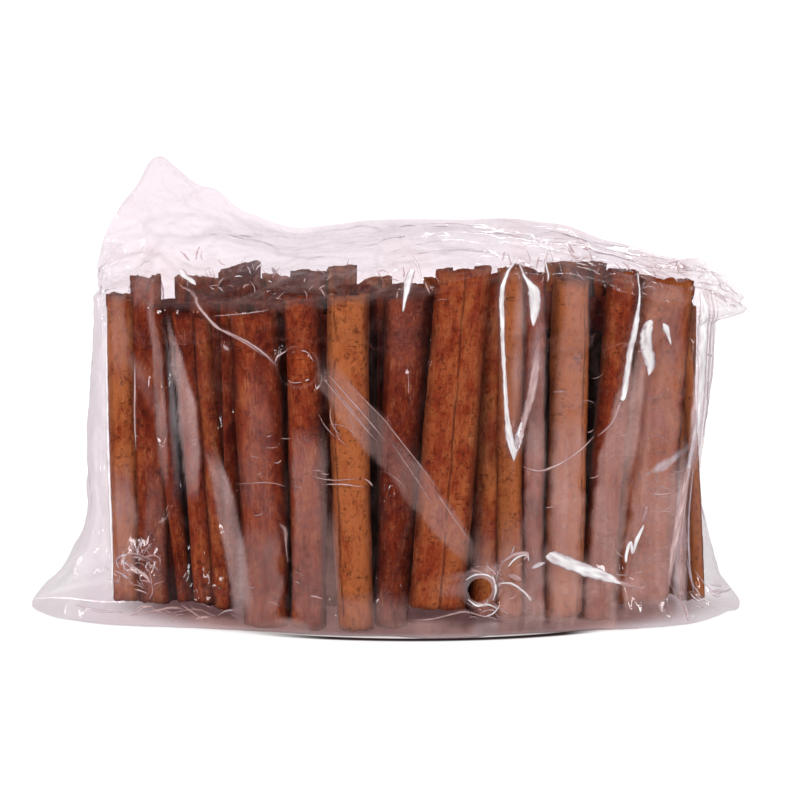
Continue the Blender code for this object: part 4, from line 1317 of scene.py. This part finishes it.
def film_mesh(film, tree):
    grid, roof, turns = film_grid()
    columns_back, columns_front = slice(0, BACK_COLUMNS), slice(BACK_COLUMNS, None)
    gap = np.full(grid.shape[:2], 20.0)
    gap[:, columns_back] = hug(tree, grid, columns_back, 1, turns)
    gap[:, columns_front] = hug(tree, grid, columns_front, -1, turns)
    lift_over_ends(tree, grid)
    white = crumple(grid, roof, turns, gap)
    along = np.cos(turns)[None, :]
    blush = fade((0.97 - np.abs(along)) / 0.06) * (1.0 - fade((roof[:, None] - 0.2) / 0.25))
    paint_wall(grid, columns_front, white, blush, FRONT_PLEATS, FRONT_VEILS)
    paint_wall(grid, columns_back, white, blush, *loose_pleats(8, 46))

    mesh = bmesh.new()
    levels = [mesh.verts.layers.float.new(name) for name in ("bloom", "blush")]
    rows = []
    for row, whites, pinks in zip(grid, white, blush):
        ring = []
        for point, milk, pink in zip(row, whites, pinks):
            vertex = mesh.verts.new(MIDDLE + Vector(point) * MM)
            vertex[levels[0]], vertex[levels[1]] = milk, pink
            ring.append(vertex)
        rows.append(ring)
    count = len(rows[0])
    for lower, upper in zip(rows, rows[1:]):
        for i in range(count):
            mesh.faces.new((lower[i - 1], lower[i], upper[i], upper[i - 1]))
    mesh.faces.new(rows[0][::-1])
    top = rows[-1]
    zip_ridge(mesh, top[:BACK_COLUMNS + 1], [top[0]] + top[:BACK_COLUMNS - 1:-1])
    bmesh.ops.recalc_face_normals(mesh, faces=mesh.faces)
    for centre, radius, _ in VENTS:
        cut_vent(mesh, radius * MM, centre)
    data = bpy.data.meshes.new("film")
    mesh.to_mesh(data)
    mesh.free()
    data.shade_smooth()
    return data


# Where the film is a single clear skin past the last sticks, in metres along the bag
LEFT_END = (-0.072, -0.080)
RIGHT_END = (0.072, 0.077)


def film_material(film):
    material, n, surface = new_material("clear_film")
    place = n.add("ShaderNodeTexCoord").outputs["Object"]
    # This attribute holds the film's milky haze together with its painted glints, highlights and reflections
    bloom = n.add("ShaderNodeAttribute", attribute_name="bloom", attribute_type="GEOMETRY").outputs["Fac"]
    blush = n.add("ShaderNodeAttribute", attribute_name="blush", attribute_type="GEOMETRY").outputs["Fac"]
    cloud = n.noise(place, scale=70.0, detail=4.0, roughness=0.65)
    haze_break = n.noise(place, scale=900.0, detail=3.0, roughness=0.6)
    relief = n.add("ShaderNodeBump", {
        "Height": n.noise(place, scale=420.0, detail=3.0, roughness=0.6),
        "Strength": 0.12, "Distance": 0.3 * MM})
    facing = n.add("ShaderNodeLayerWeight", {"Blend": 0.3}).outputs["Facing"]
    broken = n.times(bloom, n.minus(1.0, bloom), n.minus(haze_break, 0.5), 0.7)
    milky = n.plus(n.times(bloom, n.between(cloud, 0.3, 0.7, 0.85, 1.12)), broken,
                   n.times(facing, facing, 0.05))
    milky = n.math("MAXIMUM", n.math("MINIMUM", milky, 0.97), 0.0)
    spot = n.split(place)
    end = n.math("MAXIMUM",
                 n.times(n.between(spot["X"], LEFT_END[0], LEFT_END[1]), n.between(spot["Z"], 0.045, 0.03)),
                 n.between(spot["X"], RIGHT_END[0], RIGHT_END[1]))
    clear = n.add("ShaderNodeBsdfTransparent", {
        "Color": n.mix_colour(end, (*film.tint, 1.0), (0.975, 0.945, 0.958, 1.0))})
    tinted = n.mix_colour(blush, (*film.haze, 1.0), (*film.blush, 1.0))
    # Where the haze is thickest its colour goes near white: the painted glints
    haze = n.add("ShaderNodeBsdfPrincipled", {
        "Base Color": n.mix_colour(n.times(n.between(bloom, 0.5, 0.85), n.minus(1.0, blush)),
                                   tinted, (0.97, 0.95, 0.955, 1.0)),
        "Roughness": 0.4, "Specular IOR Level": 0.1, "Normal": relief.outputs["Normal"]})
    gloss = n.add("ShaderNodeBsdfPrincipled", {
        "Base Color": (1.0, 0.94, 0.95, 1.0), "Metallic": 1.0, "Roughness": 0.09,
        "Normal": relief.outputs["Normal"]})
    hazy = n.add("ShaderNodeMixShader", {0: milky, 1: clear.outputs[0], 2: haze.outputs[0]})
    mirror = n.add("ShaderNodeFresnel", {"IOR": 1.45, "Normal": relief.outputs["Normal"]}).outputs[0]
    mirror = n.math("MINIMUM", n.times(mirror, 1.2), 0.13)
    mixed = n.add("ShaderNodeMixShader", {0: mirror, 1: hazy.outputs[0], 2: gloss.outputs[0]})
    n.feed(surface, mixed.outputs[0])
    return material


# ---------------------------------------------------------------- operators


class CINNAMON_OT_front_sticks(bpy.types.Operator):
    """Rolls the sticks of the front row, each to its own size, lean and colour"""
    bl_idname = "cinnamon.front_sticks"
    bl_label = "Front Sticks"

    def execute(self, context):
        bark = context.scene.cinnamon_bark
        stations = front_stations()
        middle = len(stations) // 2
        for name, part in (("front_sticks_left", stations[:middle]),
                           ("front_sticks_right", stations[middle:])):
            settle(roll_sticks(name, part, 60, 90, bark))
        return {"FINISHED"}


class CINNAMON_OT_loose_sticks(bpy.types.Operator):
    """Rolls the sticks of the back row and those between the rows"""
    bl_idname = "cinnamon.loose_sticks"
    bl_label = "Back and Inner Sticks"

    def execute(self, context):
        bark = context.scene.cinnamon_bark
        settle(roll_sticks("back_sticks", back_stations(bark), 48, 60, bark))
        settle(roll_sticks("inner_sticks", inner_stations(bark), 40, 16, bark))
        return {"FINISHED"}


class CINNAMON_OT_core(bpy.types.Operator):
    """Fills the dark between the sticks with a dark lens: painted shade"""
    bl_idname = "cinnamon.core"
    bl_label = "Dark Core"

    def execute(self, context):
        core = bpy.data.objects.new("dark_core", core_mesh())
        context.scene.collection.objects.link(core)
        core.data.materials.append(core_material())
        settle(core)
        return {"FINISHED"}


class CINNAMON_OT_film(bpy.types.Operator):
    """Closes the clear film round the sticks"""
    bl_idname = "cinnamon.film"
    bl_label = "Film"

    def execute(self, context):
        film = context.scene.cinnamon_film
        piece = bpy.data.objects.new("film", film_mesh(film, sticks_tree()))
        context.scene.collection.objects.link(piece)
        piece.data.materials.append(film_material(film))
        folds = bpy.data.objects.new("film_folds", fold_mesh(piece))
        context.scene.collection.objects.link(folds)
        folds.data.materials.append(piece.data.materials[0])
        settle(folds)
        settle(piece)
        return {"FINISHED"}


class CINNAMON_OT_stage(bpy.types.Operator):
    """Sets the floor, the room's light, the lamps and the camera"""
    bl_idname = "cinnamon.stage"
    bl_label = "Stage"

    def execute(self, context):
        make_stage(context.scene, context.scene.cinnamon_stage)
        return {"FINISHED"}


def disc_mesh(name, radius, steps=96):
    mesh = bmesh.new()
    bmesh.ops.create_circle(mesh, cap_ends=True, segments=steps, radius=radius)
    data = bpy.data.meshes.new(name)
    mesh.to_mesh(data)
    mesh.free()
    return data


# Painted shade: the floor's colour and glow are darkened under the sticks, out to an ellipse that shows just past their
# foot, with a thin painted contact shadow along the front of the foot
SHADE_MIDDLE = MIDDLE + Vector((2.0, 0.0, 0.0)) * MM
RIM_REACH = (68.0 * MM, 31.4 * MM)
SHADE_REACH = (78.0 * MM, 31.0 * MM)


def ellipse_share(n, offset, reach_xy):
    """How far out of an ellipse an offset is: 1 on its edge. Also the offset in its half axes."""
    scaled = n.split(n.stretch(offset, (1.0 / reach_xy[0], 1.0 / reach_xy[1], 0.0)))
    out = n.math("SQRT", n.plus(n.times(scaled["X"], scaled["X"]), n.times(scaled["Y"], scaled["Y"])))
    return out, scaled


def floor_material(stage):
    material, n, surface = new_material("pale_floor")
    place = n.add("ShaderNodeTexCoord").outputs["Object"]
    grain = n.noise(place, scale=300.0, detail=2.0)
    away = n.add("ShaderNodeVectorMath", {0: place}, operation="LENGTH").outputs["Value"]
    glow = n.between(away, 0.09, 0.6, 0.76, 0.95)
    from_middle = n.add("ShaderNodeVectorMath", {0: place, 1: SHADE_MIDDLE}, operation="SUBTRACT").outputs[0]
    out, offset = ellipse_share(n, from_middle, RIM_REACH)
    shade_out, _ = ellipse_share(n, from_middle, SHADE_REACH)
    # A thin painted contact shadow along the front of the bag's foot
    painted_contact_shadow = n.times(n.between(out, 0.912, 0.93), n.between(out, 1.015, 0.975),
                  n.between(offset["X"], -0.66, -0.28), n.between(offset["X"], 0.70, 0.52),
                  n.between(offset["Y"], 0.0, -0.4))
    # Painted shade under the bag, on the floor's colour and glow alike
    under = n.mix_colour(n.between(shade_out, 0.76, 1.0), (0.22, 0.12, 0.115, 1.0), (1.0, 1.0, 1.0, 1.0))
    under = n.mix_colour(painted_contact_shadow, under, (0.02, 0.010, 0.011, 1.0))
    shader = n.add("ShaderNodeBsdfPrincipled", {
        "Base Color": n.mix_colour(1.0, under, (*stage.floor, 1.0), "MULTIPLY"),
        "Roughness": n.between(grain, 0.3, 0.7, 0.75, 0.85),
        "Emission Color": under, "Emission Strength": glow})
    n.feed(surface, shader.outputs[0])
    return material


def area_light(scene, name, place, target, size, size_y, power):
    light = bpy.data.lights.new(name, "AREA")
    light.shape = "RECTANGLE"
    light.size, light.size_y, light.energy = size, size_y, power
    lamp = bpy.data.objects.new(name, light)
    lamp.location = place
    lamp.rotation_euler = (Vector(target) - Vector(place)).to_track_quat("-Z", "Y").to_euler()
    scene.collection.objects.link(lamp)
    return lamp


def make_stage(scene, stage):
    floor = bpy.data.objects.new("floor", disc_mesh("floor", 4.0))
    scene.collection.objects.link(floor)
    floor.data.materials.append(floor_material(stage))
    floor.location.z = -0.0002
    floor.visible_glossy = False

    world = bpy.data.worlds.new("soft_room")
    world.use_nodes = True
    world.node_tree.nodes.clear()
    n = Nodes(world.node_tree)
    upward = n.split(n.add("ShaderNodeTexCoord").outputs["Generated"])["Z"]
    path = n.add("ShaderNodeLightPath").outputs
    seen_in_gloss = n.between(upward, 0.05, 0.7, 0.01, 0.22)
    strength = n.plus(n.times(path["Is Glossy Ray"], seen_in_gloss),
                      n.times(n.minus(1.0, path["Is Glossy Ray"]), 0.28))
    strength = n.math("MAXIMUM", strength, n.times(path["Is Camera Ray"], 1.0))
    sky = n.add("ShaderNodeBackground", {"Color": (1.0, 1.0, 1.0, 1.0), "Strength": strength})
    n.feed(n.add("ShaderNodeOutputWorld").inputs["Surface"], sky.outputs[0])
    scene.world = world

    aim = (0.0, 0.0, 0.05)
    soft = (area_light(scene, "key", (-0.55, -0.75, 0.75), aim, 0.5, 0.5, 7.4),
            area_light(scene, "fill", (0.8, -0.55, 0.55), aim, 0.4, 0.6, 3.1),
            area_light(scene, "top", (0.0, 0.1, 1.0), aim, 0.9, 0.6, 3.4),
            area_light(scene, "back", (-0.25, 0.95, 0.55), aim, 0.6, 0.5, 3.0))
    for lamp in soft:
        lamp.visible_glossy = False
    area_light(scene, "strip_left", (-0.85, -0.45, 0.30), aim, 0.05, 0.6, 1.2)
    area_light(scene, "strip_right", (0.85, -0.35, 0.35), aim, 0.05, 0.6, 1.2)
    area_light(scene, "strip_back", (0.3, 0.9, 0.5), aim, 0.6, 0.06, 1.0)

    camera = bpy.data.cameras.new("camera")
    camera.lens = stage.lens
    camera.sensor_width = 36.0
    camera.clip_start = 0.01
    eye = bpy.data.objects.new("camera", camera)
    target = MIDDLE + Vector((-1.3 * MM, 0.0, 51.5 * MM))
    back = Vector((0.0, -math.cos(stage.elevation), math.sin(stage.elevation)))
    eye.location = target + back * stage.distance
    eye.rotation_euler = (-back).to_track_quat("-Z", "Y").to_euler()
    scene.collection.objects.link(eye)
    scene.camera = eye
    scene.view_settings.view_transform = "Standard"


class CINNAMON_PT_panel(bpy.types.Panel):
    bl_label = "Bag of Cinnamon Sticks"
    bl_idname = "CINNAMON_PT_panel"
    bl_space_type = "VIEW_3D"
    bl_region_type = "UI"
    bl_category = "Cinnamon"

    def draw(self, context):
        for group in (context.scene.cinnamon_bark, context.scene.cinnamon_film,
                      context.scene.cinnamon_stage):
            box = self.layout.box()
            for key in group.bl_rna.properties.keys():
                if key not in ("rna_type", "name"):
                    box.prop(group, key)
        for operator in OPERATORS:
            self.layout.operator(operator.bl_idname)


OPERATORS = (
    CINNAMON_OT_front_sticks, CINNAMON_OT_loose_sticks, CINNAMON_OT_core,
    CINNAMON_OT_film, CINNAMON_OT_stage)
SETTINGS = {
    "cinnamon_bark": BarkSettings, "cinnamon_film": FilmSettings, "cinnamon_stage": StageSettings}


def register():
    for kind in (*SETTINGS.values(), *OPERATORS, CINNAMON_PT_panel):
        bpy.utils.register_class(kind)
    for name, kind in SETTINGS.items():
        setattr(bpy.types.Scene, name, PointerProperty(type=kind))


def unregister():
    for name in SETTINGS:
        delattr(bpy.types.Scene, name)
    for kind in (CINNAMON_PT_panel, *reversed(OPERATORS), *reversed(SETTINGS.values())):
        bpy.utils.unregister_class(kind)


def main():
    register()
    bpy.ops.cinnamon.front_sticks()
    bpy.ops.cinnamon.loose_sticks()
    bpy.ops.cinnamon.core()
    bpy.ops.cinnamon.film()
    bpy.ops.cinnamon.stage()


if __name__ == "__main__":
    main()
